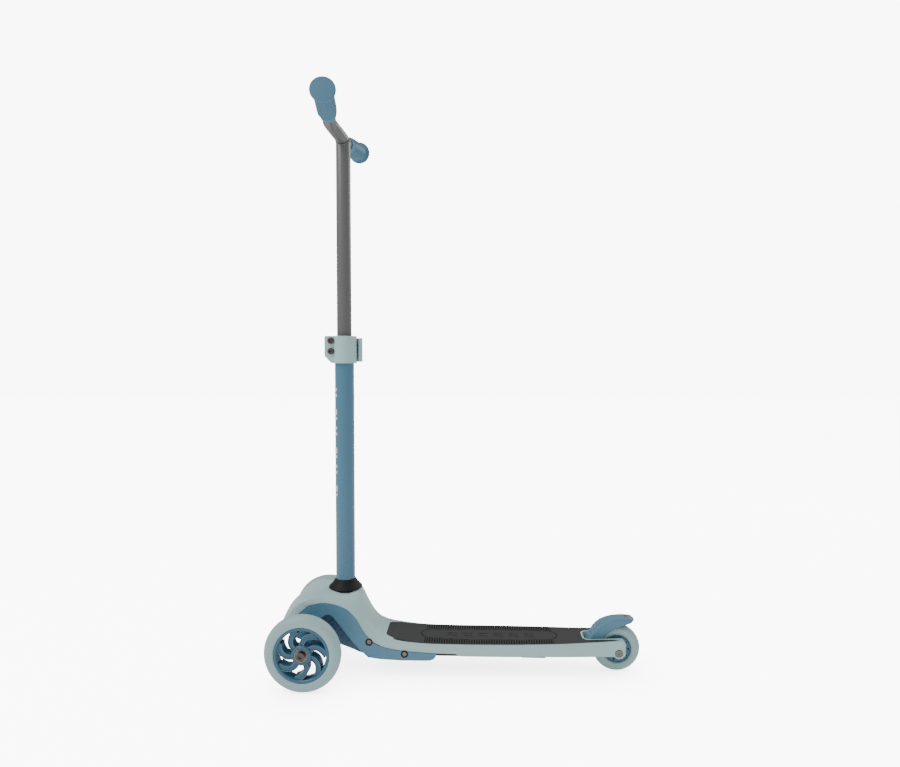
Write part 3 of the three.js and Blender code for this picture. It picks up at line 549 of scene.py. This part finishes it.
def deck_shell():
    """Each row is carried across by three stretches: a crowned top whose height falls with the
    square of the distance from the middle, a quadratic corner at the shoulder, and a flank
    down to the seam. Rows behind the slot's front start with the slot's wall."""
    rows = shell_rows()
    ridge, shoulder, seam = rows[:, 0:3], rows[:, 3:6], rows[:, 6:9]
    radius, slot, wall_foot = rows[:, 9], rows[:, 10], rows[:, 11]
    across = shoulder[:, 1]
    reach = np.clip(radius / across, 0, 0.62)

    def top(t):
        y = slot + (across - slot) * t
        part = (y / across)[:, None]
        point = ridge * (1 - part) + shoulder * part
        point[:, 1] = y
        point[:, 2] = shoulder[:, 2] + (ridge[:, 2] - shoulder[:, 2]) * (1 - part[:, 0] ** 2)
        x = point[:, 0]
        covered = (x < 110) & (x > -200) & (y < half_width(x) - 4.4)
        point[:, 2] -= UNDER_MAT * covered
        return point

    flank_length = np.linalg.norm(seam - shoulder, axis=1)
    flank_start = np.clip(radius / flank_length, 0, 0.75)
    start = top(1 - reach)
    end = shoulder + (seam - shoulder) * flank_start[:, None]
    columns = []
    edge = 0.8
    in_slot = (slot > 0) | (wall_foot < ridge[:, 2] - 1)
    for t in np.linspace(0, 1, 9):
        point = top(np.zeros(len(rows)))
        low = wall_foot + (point[:, 2] - edge - wall_foot) * t
        point[:, 2] = np.where(in_slot, low, point[:, 2])
        columns.append(point)
    for t in np.linspace(0, 1, 22):
        columns.append(top((1 - reach) * t))
    for t in np.linspace(0, 1, 9)[1:]:
        columns.append(start * (1 - t) ** 2 + 2 * shoulder * t * (1 - t) + end * t**2)
    for t in np.linspace(0, 1, 12)[1:]:
        bulge = np.zeros((len(rows), 3))
        bulge[:, 1] = 0.5 * 4 * t * (1 - t)
        columns.append(end * (1 - t) + seam * t + bulge)
    points = np.stack(columns, 1)
    last = points[-1:].copy()
    last[..., 1] = (SLOT_HALF + 30) / 2
    points = np.concatenate([points, last])
    part = grid_part(points)
    piece = make_piece("shell", [part, mirrored(part)], "deck", PALE, ("deck_shell",),
                       math.radians(38), (0, 0, 40))
    work = bmesh.new()
    work.from_mesh(piece.data)
    holes = []
    for face in work.faces:
        x, y, z = (value / MM for value in face.calc_center_median())
        stem = math.hypot(x - STEM_X, max(abs(y) - 9.6, 0)) < 18.4 and z > 120
        axle = math.hypot(x - REAR_AXLE[0], z - REAR_AXLE[1]) < 7.3 and abs(y) > 20
        if stem or axle:
            holes.append(face)
    bmesh.ops.delete(work, geom=holes, context="FACES")
    work.to_mesh(piece.data)
    work.free()
    wall = piece.modifiers.new("wall", "SOLIDIFY")
    wall.thickness = 2.4 * MM
    wall.offset = -1
    return piece


def axle_cups():
    """A shallow cup round each end of the rear axle: a raised lip, then a step inwards."""
    parts = []
    for side in (1, -1):
        face = half_width(REAR_AXLE[0])
        profile = rounded([[9.2, face - 1.5], [9.2, face + 0.5], [7.0, face + 0.5], [6.4, 27.3],
                           [4.5, 27.3], [4.5, face - 3.6], [9.2, face - 3.6]], 0.45, 3)
        parts.append(lathe(profile * [1, side], (REAR_AXLE[0], 0, REAR_AXLE[1]), (0, 1, 0), 48, True))
    make_piece("axle_cups", parts, "deck", PALE)


# ---------------------------------------------------------------- deck mat
OVAL_MIDDLE = -52.0
OVAL_HALF = 117.0
OVAL_WIDE = 22.0
RIB_PITCH = 4.2


def mat_relief(x, y, edge):
    """Where the mat has cross ribs, how far up each rib a point is, and where it has the sunk
    line round the oval or one of the plain slanted marks inside it."""
    bow = 1 - ((x - OVAL_MIDDLE) / OVAL_HALF) ** 2
    oval = OVAL_WIDE * (0.78 + 0.22 * np.clip(bow, 0, 1))
    over = np.maximum(np.abs(x - OVAL_MIDDLE) - (OVAL_HALF - oval), 0)
    reach = np.hypot(over, y) / oval
    groove = np.exp(-(((reach - 1) * oval / 0.9) ** 2))
    along = np.clip((59 - x) / 3, 0, 1) * np.clip((x + 163) / 3, 0, 1)
    outside = np.clip(((reach - 1) * oval - 2.2) / 0.8, 0, 1)
    inside_edge = np.clip((edge - np.abs(y) - 2.2) / 0.8, 0, 1)
    wave = np.clip(0.5 + 0.9 * np.cos(FULL_TURN * x / RIB_PITCH), 0, 1)
    zone = along * outside * inside_edge
    step = (x + 132) % 26.5
    bars = (np.abs(step - 11) < 8.5) & (x < 26) & (x > -132)
    line = np.exp(-(((np.abs(y + 0.28 * (step - 11)) - 4.6) / 0.9) ** 2)) * bars
    return zone, wave, np.maximum(groove, line)


def mat_height(x, y, edge):
    """Height of the mat above its plain level."""
    zone, wave, line = mat_relief(x, y, edge)
    return 1.1 * zone * wave - 0.75 * line


def paint_groove_shade(piece, edge_line):
    """Gives the faces between the ribs, and those in the sunk lines, a darker rubber colour: painted
    shade in the grooves.
    """
    piece.data.materials.append(MAT_GROOVE_SHADE)
    for face in piece.data.polygons:
        x, y, _ = (value / MM for value in face.center)
        edge = np.interp(x, edge_line[:, 0], edge_line[:, 1])
        zone, wave, line = mat_relief(x, y, edge)
        if (zone > 0.5 and wave < 0.45) or line > 0.45:
            face.material_index = 1


def deck_mat():
    """A sheet between an inner and an outer edge line, lifted by mat_height, with a rounded edge
    that goes down into the deck."""
    outer_line = smooth([[104, 37.2], [64, 40.6], [6, 41.6], [-90, 40.4], [-168, 36.4], [-225, 31.2],
                         [-258, 28.2], [-270, 25.9]], 80)[::-1]
    base = -0.1
    plain = 0.3

    def rows_for(x, inner, outer):
        t = np.linspace(0, 1, 46)[None]
        x = np.asarray(x, float)[:, None]
        inner = np.broadcast_to(np.asarray(inner, float), len(x))[:, None]
        outer = np.broadcast_to(np.asarray(outer, float), len(x))[:, None]
        y = inner + (outer - inner) * t
        flat_x = np.broadcast_to(x, y.shape)
        rim = np.minimum(outer - y, np.where(inner > 0, y - inner, 9))
        fall = np.clip(1 - rim / 1.2, 0, 1) ** 2
        z = deck_line(flat_x) + plain + mat_height(flat_x, y, outer) * (fall < 0.01) - 0.5 * fall
        sheet = np.stack([flat_x, y, z], -1)
        foot = sheet[:, -1:].copy()
        foot[..., 2] = deck_line(foot[..., 0]) + base - 0.6
        foot_in = sheet[:, :1].copy()
        lowered = deck_line(foot_in[..., 0]) + base - 0.6
        foot_in[..., 2] = np.where(inner > 0, lowered, foot_in[..., 2])
        return np.concatenate([foot_in, sheet, foot], 1)

    nose_turn = np.linspace(0.02, 1, 12) * math.radians(62)
    nose_x = 115 + 8 * np.cos(nose_turn)
    nose_y = 23 + 8 * np.sin(nose_turn)
    nose = rows_for(nose_x, 0, nose_y)
    shoulder_x = np.linspace(118, 104, 12)
    shoulder = rows_for(shoulder_x, 0, np.interp(shoulder_x, [104, 118], [37.2, 30.5]))
    straight_x = np.arange(103.6, -210.6, -0.6)
    straight = rows_for(straight_x, 0, np.interp(straight_x, outer_line[:, 0], outer_line[:, 1]))
    turn = np.linspace(0, math.pi / 2, 9)
    cut_x = -211 - 11 + 11 * np.cos(turn)
    cut_y = 9 + 11 * np.sin(turn)
    cut = rows_for(cut_x, cut_y, np.interp(cut_x, outer_line[:, 0], outer_line[:, 1]))
    arm_x = np.linspace(-223, -271, 44)
    arm_y = np.interp(arm_x, [-271, -262, -240, -223], [24.6, 22, 20.2, 20])
    arm = rows_for(arm_x, arm_y, np.interp(arm_x, outer_line[:, 0], outer_line[:, 1]))
    blunt = nose[:1].copy()
    blunt[..., 2] = deck_line(blunt[..., 0]) + base - 0.6
    wall = straight[-1:].copy()
    wall[..., 0] = SLOT_FRONT + 3
    points = np.concatenate([blunt, nose, shoulder, straight, wall, cut, arm])
    part = grid_part(points)
    piece = make_piece("mat", [part, mirrored(part)], "deck", MAT_RUBBER, ("deck_mat",),
                       math.radians(50), (-50, 0, 0))
    paint_groove_shade(piece, outer_line)


# ---------------------------------------------------------------- wheels
def tyre(name, node, body, axle, middle, radius, rim, width):
    """A round-shouldered tyre: flat walls, then an oval crown from wall to wall."""
    half = width / 2
    crown = np.linspace(-1, 1, 21)
    tread = np.column_stack([radius - 7 * np.abs(crown) ** 2.6, crown * half])
    walls = [[rim + 2.5, half], [rim + 0.8, half - 0.5], [rim, half - 1.6], [rim, 1.6 - half],
             [rim + 0.8, 0.5 - half], [rim + 2.5, -half]]
    part = lathe(np.vstack([tread, walls]), (axle[0], middle, axle[1]), (0, 1, 0), 128, True)
    make_piece(name, [part], body, TYRE, (node,), math.radians(50))


SPOKE_SWEEP = math.radians(38)


def spoke_line(axle, start, hand, inside, outside):
    """A spoke's middle line, which turns faster toward the rim, with the sideways direction and
    the half width at each of its points."""
    t = np.linspace(0, 1, 26)
    reach = inside + (outside - inside) * t
    turn = start + hand * SPOKE_SWEEP * t**1.8
    line = np.stack([axle[0] + reach * np.cos(turn), axle[1] + reach * np.sin(turn)], -1)
    heading = np.gradient(line, axis=0)
    heading /= np.linalg.norm(heading, axis=1, keepdims=True)
    side = np.stack([-heading[:, 1], heading[:, 0]], -1)
    return line, side, 4.0 + 0.4 * t


def spoke(axle, middle, start, hand, inside, outside, half_deep):
    """A channel-shaped bar: a flat bar whose two long edges stand proud of both faces."""
    line, side, half = spoke_line(axle, start, hand, inside, outside)
    lip = 0.9
    sunk = half_deep - 1.5
    section = np.array([[-1, 0, -half_deep], [-1, lip, -half_deep], [-1, lip, -sunk], [1, -lip, -sunk],
                        [1, -lip, -half_deep], [1, 0, -half_deep], [1, 0, half_deep],
                        [1, -lip, half_deep], [1, -lip, sunk], [-1, lip, sunk], [-1, lip, half_deep],
                        [-1, 0, half_deep]])
    outline = rounded(section, [0.3, 0.25, 0.3, 0.3, 0.25, 0.3] * 2, 2)
    offset = outline[:, 0][None] * half[:, None] + outline[:, 1][None]
    points = np.empty((len(line), len(outline), 3))
    points[..., 0] = line[:, :1] + side[:, :1] * offset
    points[..., 2] = line[:, 1:] + side[:, 1:] * offset
    points[..., 1] = middle + outline[:, 2][None]
    ends = [np.repeat(points[k : k + 1].mean(1, keepdims=True), len(outline), 1) for k in (0, -1)]
    return grid_part(np.concatenate([ends[0], points, ends[1]]), False, True)


def spoke_highlight_lines(axle, middle, start, hand, inside, outside, half_deep):
    """The two raised lines that run along a spoke, on both faces of the wheel. They are given a lighter
    blue than the core as a painted highlight along the spoke's lips.
    """
    line, side, half = spoke_line(axle, start, hand, inside, outside)
    parts = []
    for edge in (1, -1):
        for face in (1, -1):
            place = line + side * ((half - 0.5) * edge)[:, None]
            depth = np.full(len(place), middle + face * (half_deep - 0.1))
            path = np.stack([place[:, 0], depth, place[:, 1]], -1)
            parts.append(tube_along(path, 0.55, 8, (0, 1, 0)))
    return parts


def front_core(side, label):
    middle = side * 100.0
    centre = (FRONT_AXLE[0], middle, FRONT_AXLE[1])
    parts = []
    rim = rounded([[44.8, -11.2], [44.8, 11.2], [41.6, 11.2], [39.9, 9.6], [38.9, 3], [38.4, 0],
                   [38.9, -3], [39.9, -9.6], [41.6, -11.2]], 0.6, 3)
    parts.append(lathe(rim, centre, (0, 1, 0), 128, True))
    hub = rounded([[11.3, -11.2], [11.3, 11.2], [14.6, 11.2], [16.0, 9.9], [16.4, 8], [16.4, -8],
                   [16.0, -9.9], [14.6, -11.2]], 0.6, 3)
    parts.append(lathe(hub, centre, (0, 1, 0), 96, True))
    web = rounded([[8.8, -3.2], [8.8, 3.2], [12, 3.2], [12, -3.2]], 0.3, 2)
    parts.append(lathe(web, centre, (0, 1, 0), 64, True))
    edges = []
    count = 7
    for k in range(count):
        start = math.radians(90 + 2) + k * FULL_TURN / count
        if side < 0:
            start = math.pi - start
        parts.append(spoke(FRONT_AXLE, middle, start, side, 15.2, 40.6, 9.4))
        edges += spoke_highlight_lines(FRONT_AXLE, middle, start, side, 15.8, 40.2, 9.4)
    make_piece(f"front_core_{label}", parts, f"front_{label}_wheel", WHEEL_BLUE,
               (f"front_wheel_core_{label}",), math.radians(40))
    # Painted highlight: the raised lines along the spokes take a lighter blue than the core.
    make_piece(f"front_core_highlights_{label}", edges, f"front_{label}_wheel", BLUE)


def bearing(name, node, body, axle, start):
    """An outer ring, a sunk shield and an inner ring, as one closed band."""
    width = 7
    near, far = start, start + width
    half = [[4, near + 0.2], [6.2, near + 0.2], [6.4, near + 0.9], [8.8, near + 0.9],
            [9.1, near + 0.1], [11, near + 0.1]]
    other = [[r, near + far - y] for r, y in half[::-1]]
    profile = rounded(half + other, 0.2, 2)
    part = lathe(profile, (axle[0], 0, axle[1]), (0, 1, 0), 64, True)
    make_piece(name, [part], body, STEEL, (node,))


def rear_core():
    """A dished disc with ten short radial pockets sunk into both faces. The depth of a pocket is
    full inside a slot of set half width and falls to nothing over half a millimetre."""
    segments = 360
    turn = np.arange(segments) / segments * FULL_TURN
    rings = np.concatenate([[8.6], np.linspace(11.4, 23.6, 38)])
    r, a = np.meshgrid(rings, turn, indexing="ij")
    count = 10
    wedge = FULL_TURN / count
    apart = np.abs(((a + wedge / 2) % wedge) - wedge / 2) * r
    long_slot = (np.floor((a + wedge / 2) / wedge).astype(int) % 2) == 0
    low = np.where(long_slot, 16.0, 18.2)
    high = np.where(long_slot, 20.8, 20.4)
    wide = np.where(long_slot, 1.0, 1.4)
    beside = np.clip((wide - apart) / 0.5, 0, 1)
    between = np.clip((r - low) / 0.5, 0, 1) * np.clip((high - r) / 0.5, 0, 1)
    pocket = beside * between
    face = 10.4 - 0.9 * np.clip((20.5 - r) / 6, 0, 1) ** 2 - 4 * pocket
    face = np.where(r > 22.6, 10.9 - 0.4 * (r - 22.6), face)
    parts = []
    for side in (1, -1):
        points = np.stack([REAR_AXLE[0] + r * np.cos(a), side * face, REAR_AXLE[1] + r * np.sin(a)], -1)
        parts.append(points)
    whole = np.concatenate([parts[0], parts[1][::-1], parts[0][:1]])
    make_piece("rear_core", [grid_part(whole, False, True)], "rear_wheel", WHEEL_BLUE,
               ("rear_wheel_core",), math.radians(40))


# ---------------------------------------------------------------- brake
BRAKE_STATIONS = np.array([
    # top x, z, skirt x, z, half width, corner
    [-219.0, 51.5, -228.5, 45.5, 12.6, 3],
    [-220.2, 56, -233, 47.5, 13.6, 3.5],
    [-223.5, 61, -237, 50.8, 14.3, 4],
    [-228, 68, -241.5, 55.2, 14.6, 4.5],
    [-234, 76, -247, 61.0, 14.6, 4.5],
    [-242, 82.8, -254.5, 68.4, 14.6, 4.5],
    [-252.4, 88, -263.5, 74.6, 14.6, 4.5],
    [-264, 91.2, -274, 79.4, 14.6, 5],
    [-276, 92.6, -284, 82.4, 14.4, 5],
    [-287, 92.8, -291, 84.6, 13.8, 4.5],
    [-295.5, 92.0, -295.5, 86.6, 11.6, 3],
    [-299.4, 90.4, -298.6, 88.4, 7.4, 1.2],
    [-300.2, 89.6, -300.0, 89.2, 2.2, 0.4],
])


def brake_fender():
    """Rows go back along the fender. Each is a flat-crowned top, a quadratic corner and a side
    down to the skirt. Along the front curve the top is lifted by five low waves and sunk by two
    rows of round dimples."""
    rows = smooth(BRAKE_STATIONS, 170)
    top, skirt, half, corner = rows[:, 0:2], rows[:, 2:4], rows[:, 4], rows[:, 5]
    heading = np.gradient(top, axis=0)
    length = np.cumsum(np.hypot(*np.diff(top, axis=0, prepend=top[:1]).T))
    heading /= np.maximum(np.linalg.norm(heading, axis=1, keepdims=True), 1e-9)
    outward = np.stack([heading[:, 1], -heading[:, 0]], -1)
    outward *= np.sign(outward[:, 1:] + 1e-9)
    pitch = 7.4
    first, last = 6.0, 6.0 + 5 * pitch
    within = (length > first) & (length < last)
    wave = within * np.abs(np.sin(math.pi * (length - first) / pitch)) ** 1.5
    columns = []
    for t in np.linspace(0, 1, 30):
        y = (half - corner) * t
        crown = 0.5 * (1 - t**2)
        phase = ((length - first) % pitch) - pitch / 2
        dimple = within * np.exp(-((phase / 1.5) ** 2 + ((y - 7.2) / 1.7) ** 2) ** 2)
        lift = 1.3 * wave * (1 - 0.3 * t) * (t < 0.999) - 1.7 * dimple - 0.5 + crown
        point = top + outward * lift[:, None]
        columns.append(np.stack([point[:, 0], y, point[:, 1]], -1))
    drop = (skirt - top) / np.linalg.norm(skirt - top, axis=1, keepdims=True)
    shoulder = np.stack([top[:, 0] - 0.5 * outward[:, 0], half, top[:, 1] - 0.5 * outward[:, 1]], -1)
    begin = columns[-1]
    low = top + drop * corner[:, None]
    end = np.stack([low[:, 0], half, low[:, 1]], -1)
    foot = np.stack([skirt[:, 0], half, skirt[:, 1]], -1)
    for t in np.linspace(0, 1, 9)[1:]:
        columns.append(begin * (1 - t) ** 2 + 2 * shoulder * t * (1 - t) + end * t**2)
    for t in np.linspace(0, 1, 12)[1:]:
        columns.append(end * (1 - t) + foot * t)
    part = grid_part(np.stack(columns, 1))
    piece = make_piece("fender", [part, mirrored(part)], "brake", BLUE,
                       ("brake_fender",), math.radians(50), (-262, 0, 60))
    wall = piece.modifiers.new("wall", "SOLIDIFY")
    wall.thickness = 1.8 * MM
    wall.offset = -1
    barrel = rounded([[2.5, -14], [2.5, 14], [5.4, 14], [5.4, -14]], 0.4, 3)
    make_piece("fender_barrel", [lathe(barrel, (-224, 0, 50), (0, 1, 0), 48, True)], "brake", BLUE)
    washer = rounded([[0, 93.9], [2.4, 93.9], [2.9, 93.4], [4.6, 93.3], [4.8, 92.4], [1.9, 92.2],
                      [1.9, 81.4], [0, 81.4]], 0.3, 3, False)
    make_piece("rivet", [lathe(washer, (-287.5, 0, 0), (0, 0, 1), 48)], "brake", STEEL,
               ("brake_rivet",))


# ---------------------------------------------------------------- stem, bar and grips
BAR_LEFT = np.array([[209, 50, 918.6], [196.4, 154.5, 930.1]])


def bar_line():
    """The middle line of the cross bar: straight under each grip, with a soft dip between."""
    middle = smooth([[208.3, 56, 919.3], [209, 50, 918.6], [207.5, 40, 916.6], [200.5, 19, 909.2],
                     [197, 0, 905.6], [200.5, -19, 909.2], [207.5, -40, 916.6], [209, -50, 918.6],
                     [208.3, -56, 919.3]], 80)
    left = np.linspace(BAR_LEFT[1], BAR_LEFT[0], 16)[:-2]
    right = (left * [1, -1, 1])[::-1]
    return np.vstack([left, middle, right])


def handlebar():
    parts = [tube_along(bar_line(), 11, 48)]
    upright = rounded([[12.5, 395], [12.5, 903], [11, 903], [11, 395]], 0.4, 3)
    parts.append(lathe(upright, (STEM_X, 0, 0), (0, 0, 1), 64, True))
    turn = np.linspace(0, FULL_TURN, 65)[:-1]
    seat = 905.6 - np.sqrt(np.maximum(121 - (12.0 * np.cos(turn)) ** 2, 4))
    bead = np.stack([STEM_X + 12.0 * np.cos(turn), 12.0 * np.sin(turn), seat], -1)
    round_bead = np.arange(12) / 12 * FULL_TURN
    ring = bead[:, None] + 1.6 * (np.cos(round_bead)[None, :, None]
                                  * np.stack([np.cos(turn), np.sin(turn), 0 * turn], -1)[:, None]
                                  + np.sin(round_bead)[None, :, None] * np.array([0, 0, 1.0]))
    parts.append(grid_part(ring, True, True))
    make_piece("bar", parts, "handlebar", GREY_PAINT, ("handlebar",), math.radians(45))


def grip(side, label):
    """A sleeve round the straight end of the bar. Its radius grows a little toward the end, and
    slanted ribs rise on it, mirrored about two smooth strips that run its length."""
    start, stop = BAR_LEFT
    length = float(np.linalg.norm(stop - start))
    heading = (stop - start) / length
    side_axis = np.cross(heading, [0, 0, 1.0])
    side_axis /= np.linalg.norm(side_axis)
    top_axis = np.cross(side_axis, heading)
    segments = 144
    turn = np.arange(segments) / segments * FULL_TURN
    along = np.linspace(29.0, length - 3.0, 220)
    u, a = np.meshgrid(along, turn, indexing="ij")
    body = np.interp(u, [29, 34, 44, length - 3], [15.0, 15.6, 16.1, 16.2])
    strip = np.abs(((a + math.pi / 2) % math.pi) - math.pi / 2)
    slant = u + 7.5 * strip
    pitch = 7.0
    wave = np.clip(0.5 + 0.9 * np.cos(FULL_TURN * slant / pitch), 0, 1)
    beside = np.clip((strip - 0.26) / 0.06, 0, 1)
    fade = np.clip((u - 36) / 3, 0, 1) * np.clip((length - 8 - u) / 3, 0, 1)
    radius = body - 1.7 + 1.7 * wave * beside * fade + 1.1 * (1 - beside) * fade
    head = rounded([[11.4, 24], [12.8, 24], [13.3, 29]], 0.6, 3, False)
    tail = rounded([[14.5, length - 3], [17, length - 2.2], [19.2, length - 2], [19.8, length - 1],
                    [19.8, length + 2], [18.8, length + 3], [0, length + 3]], 0.6, 3, False)
    close = [[0, 24.5], [11.4, 24.5]]
    rings = [np.tile([r, d], (segments, 1)) for r, d in [*close, *head.tolist()]]
    rings += [np.column_stack([radius[k], u[k]]) for k in range(1, len(along))]
    rings += [np.tile([r, d], (segments, 1)) for r, d in tail[1:].tolist()]
    stack = np.stack(rings)
    around = np.cos(turn)[:, None] * side_axis + np.sin(turn)[:, None] * top_axis
    points = start + stack[..., :1] * around[None] + stack[..., 1:] * heading
    part = grid_part(points, False, True)
    if side < 0:
        part = mirrored(part)
    make_piece(f"grip_{label}_ribbed", [part], "handlebar", GRIP_RUBBER,
               (f"grip_{label}",), math.radians(50))


def stem_boot():
    """A flared rubber collar whose wall is a smooth line from a wide rim to a narrow neck. It
    stretches from the deck to the stem."""
    outside = smooth([[29, 138.2], [28.6, 139.5], [25.5, 142.5], [21.5, 147], [18.6, 151.5],
                      [17.2, 153.6], [16.7, 154]], 40)
    inside = smooth([[16.6, 153.5], [17.5, 149], [21, 142.5], [25, 138.2]], 14)
    profile = np.vstack([outside, inside])
    piece = make_piece("boot", [lathe(profile, (STEM_X, 0, 0), (0, 0, 1), 96, True)], None,
                       BOOT_RUBBER, ("stem_boot",), math.radians(50))
    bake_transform(piece)


def centring_spring(side, label):
    """A coil between the housing's pad and the stem foot's wing. On the real scooter it is squeezed as
    the stem leans; here it is one fixed shape.
    """
    turns = 4.5
    wire = 1.1
    low, high = 60.5, 83.5
    t = np.linspace(0, 1, 150)
    turn = turns * FULL_TURN * t
    path = np.stack([STEM_X + 5.2 * np.cos(turn), side * 20 + 5.2 * np.sin(turn),
                     low + wire + (high - low - 2 * wire) * t], -1)
    piece = make_piece(f"centring_coil_{label}", [tube_along(path, wire, 10)], None, STEEL,
                       (f"centring_spring_{label}",))
    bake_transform(piece)


def tube_print():
    """Generic marks up the front of the tube: bars and chevrons, each a thin curved patch."""
    radius = 16.5
    thin = 0.25
    parts = []

    def patch(low, high, left, right, slope):
        v, w = np.meshgrid(np.linspace(0, 1, 14), np.linspace(0, 1, 4), indexing="ij")
        angle = np.radians(left + (right - left) * v)
        z = low + (high - low) * w + slope * np.abs(v - 0.5) * 2
        layers = []
        for grow in (-0.05, thin):
            layers.append(np.stack([STEM_X + (radius + grow) * np.cos(angle),
                                    (radius + grow) * np.sin(angle), z], -1))
        ring = np.concatenate([layers[0], layers[1][:, ::-1]], 1)
        ends = [np.repeat(ring[k : k + 1].mean(1, keepdims=True), ring.shape[1], 1) for k in (0, -1)]
        parts.append(grid_part(np.concatenate([ends[0], ring, ends[1]]), False, True))

    for k in range(6):
        low = 298 + 33 * k
        if k % 2:
            patch(low, low + 5, -50, 50, 7)
            patch(low + 10, low + 15, -50, 50, 7)
        else:
            patch(low, low + 4.5, -50, 50, 0)
            patch(low + 8, low + 18, -50, 50, 0)
    make_piece("tube_marks", parts, "stem", WHITE_PRINT)


# ---------------------------------------------------------------- housing details
def housing_ribs():
    """Slanted ribs on the wheel-side wall of each recess: low bars across its width, in the darker blue
    that paints the recess's shade.
    """
    parts = []
    wall = 37.4
    for k in range(7):
        t = k / 10
        x = 214 - 50 * t
        z = 96 - 54 * t
        line = np.array([[x - 3.5, z - 2.0], [x + 6.5, z - 9.0]])
        direction = (line[1] - line[0]) / np.linalg.norm(line[1] - line[0])
        across = np.array([-direction[1], direction[0]])
        section = rounded([[-0.8, -0.6], [0.8, -0.6], [0.55, 1.3], [-0.55, 1.3]], 0.3, 2)
        rows = []
        for point in line:
            ring = np.empty((len(section), 3))
            ring[:, 0] = point[0] + across[0] * section[:, 0]
            ring[:, 2] = point[1] + across[1] * section[:, 0]
            ring[:, 1] = wall + section[:, 1]
            rows.append(ring)
        rows = np.stack(rows)
        ends = [np.repeat(rows[n : n + 1].mean(1, keepdims=True), len(section), 1) for n in (0, -1)]
        part = grid_part(np.concatenate([ends[0], rows, ends[1]]), False, True)
        parts += [part, mirrored(part)]
    make_piece("recess_ribs", parts, "deck", BLUE_RECESS_SHADE)


def screw_well_shade():
    """A dark ring round each flank screw, at the bottom of its well: painted shade in the well."""
    parts = []
    for x, z in SIDE_SCREWS:
        face = half_width(x) + 1
        profile = rounded([[4.0, 43.9], [4.0, 44.6], [5.0, face + 0.15], [6.3, face + 0.15],
                           [6.3, face - 0.3], [5.3, 43.9]], 0.1, 2)
        for side in (1, -1):
            parts.append(lathe(profile * [1, side], (x, 0, z), (0, 1, 0), 40, True))
    make_piece("screw_well_shade", parts, "deck", BLACK)


def plate_lip():
    """A thin black strip that closes the step between the housing's tail and the underplate."""
    corners = np.array([[x, y, z] for z in (35.4, 38.8) for x, y in
                        ((31.8, -40), (37.5, -40), (37.5, 40), (31.8, 40))], float)
    quads = np.array([[0, 3, 2, 1], [4, 5, 6, 7], [0, 1, 5, 4], [1, 2, 6, 5], [2, 3, 7, 6],
                      [3, 0, 4, 7]])
    make_piece("plate_lip", [(corners, quads)], "deck", BLACK)


def paint_recess_shade(piece):
    """Gives the faces of the housing's two wheel recesses the deeper blue: painted shade inside the
    recesses.
    """
    piece.data.materials.append(BLUE_RECESS_SHADE)
    for face in piece.data.polygons:
        x, y, _ = (value / MM for value in face.center)
        if abs(y) < 39.5 and 146 < x < 237:
            face.material_index = 1


# ---------------------------------------------------------------- build
add_camera()
add_studio()

deck_shell()
axle_cups()
deck_mat()
stem_boot()
housing_ribs()
screw_well_shade()
plate_lip()
brake_fender()
handlebar()
grip(1, "left")
grip(-1, "right")
tube_print()

for side, label in ((1, "left"), (-1, "right")):
    tyre(f"front_tyre_{label}_round", f"front_tyre_{label}", f"front_{label}_wheel", FRONT_AXLE,
         side * 100, 62.5, 45, 24)
    front_core(side, label)
    centring_spring(side, label)
    inner = 88.7 if side > 0 else -95.7
    outer = 104.3 if side > 0 else -111.3
    bearing(f"front_inner_race_{label}", f"front_inner_bearing_{label}", f"front_{label}_wheel",
            FRONT_AXLE, inner)
    bearing(f"front_outer_race_{label}", f"front_outer_bearing_{label}", f"front_{label}_wheel",
            FRONT_AXLE, outer)
    socket_screw(f"front_wheel_bolt_{label}", f"front_axle_bolt_{label}", f"{label}_knuckle",
                 (FRONT_AXLE[0], side * 112.3, FRONT_AXLE[1]), (0, side, 0), 7, 3.6, 3.4, 3.7, 30,
                 DARK_STEEL)
    rear = 4.3 if side > 0 else -11.3
    bearing(f"rear_race_{label}", f"rear_bearing_{label}", "rear_wheel", REAR_AXLE, rear)
    for place, (x, z) in zip(("front", "rear"), SIDE_SCREWS):
        socket_screw(f"{place}_flank_screw_{label}", f"{place}_side_screw_{label}", "deck",
                     (x, side * 44.1, z), (0, side, 0), 3.7, 1.8, 1.6, 1.8, 9)
tyre("rear_tyre_round", "rear_tyre", "rear_wheel", REAR_AXLE, 0, 40, 24, 24)
rear_core()
socket_screw("rear_bolt", "rear_axle_bolt", "deck", (REAR_AXLE[0], 27.5, REAR_AXLE[1]), (0, 1, 0),
             5.6, 2.3, 2.4, 3.7, 57.5, STEEL)
for place, z in (("upper", 564.7), ("lower", 547)):
    socket_screw(f"{place}_collar_bolt", f"{place}_clamp_bolt", "stem", (217, 14.3, z), (0, 1, 0),
                 5.5, 4.0, 2.5, 2.6, 32, DARK_STEEL)

for node, material, body, slot, bevel in (
    ("lower_housing", BLUE, "deck", "blue_plastic", 0.5),
    ("deck_underplate", BLACK, "deck", "black_plastic", 0.4),
    ("lower_tube", BLUE_PAINT, "stem", "blue_paint", 0.0),
    ("tube_bush", BLACK, "stem", "black_plastic", 0.0),
    ("clamp_collar", PALE, "stem", "pale_plastic", 0.8),
    ("clamp_lever", PALE, "clamp_lever", "pale_plastic", 0.8),
    ("steering_knuckle_left", BLUE, "left_knuckle", "blue_plastic", 0.5),
    ("steering_knuckle_right", BLUE, "right_knuckle", "blue_plastic", 0.5),
    ("rear_axle_nut", STEEL, "deck", "steel", 0.2),
):
    copy = finished_copy(node, material, body, bevel)
    if node == "lower_housing":
        paint_recess_shade(copy)

PLAIN_NODES = {
    "black_plastic": BLACK,
    "steel": STEEL,
    "blue_plastic": BLUE,
    "pale_plastic": PALE,
}
slots = {part["node"]: part["material_slot"] for part in frame["record"]["subparts"]}
for node, item in frame["nodes"].items():
    material = PLAIN_NODES.get(slots[node])
    if material:
        item.data.materials.clear()
        item.data.materials.append(material)
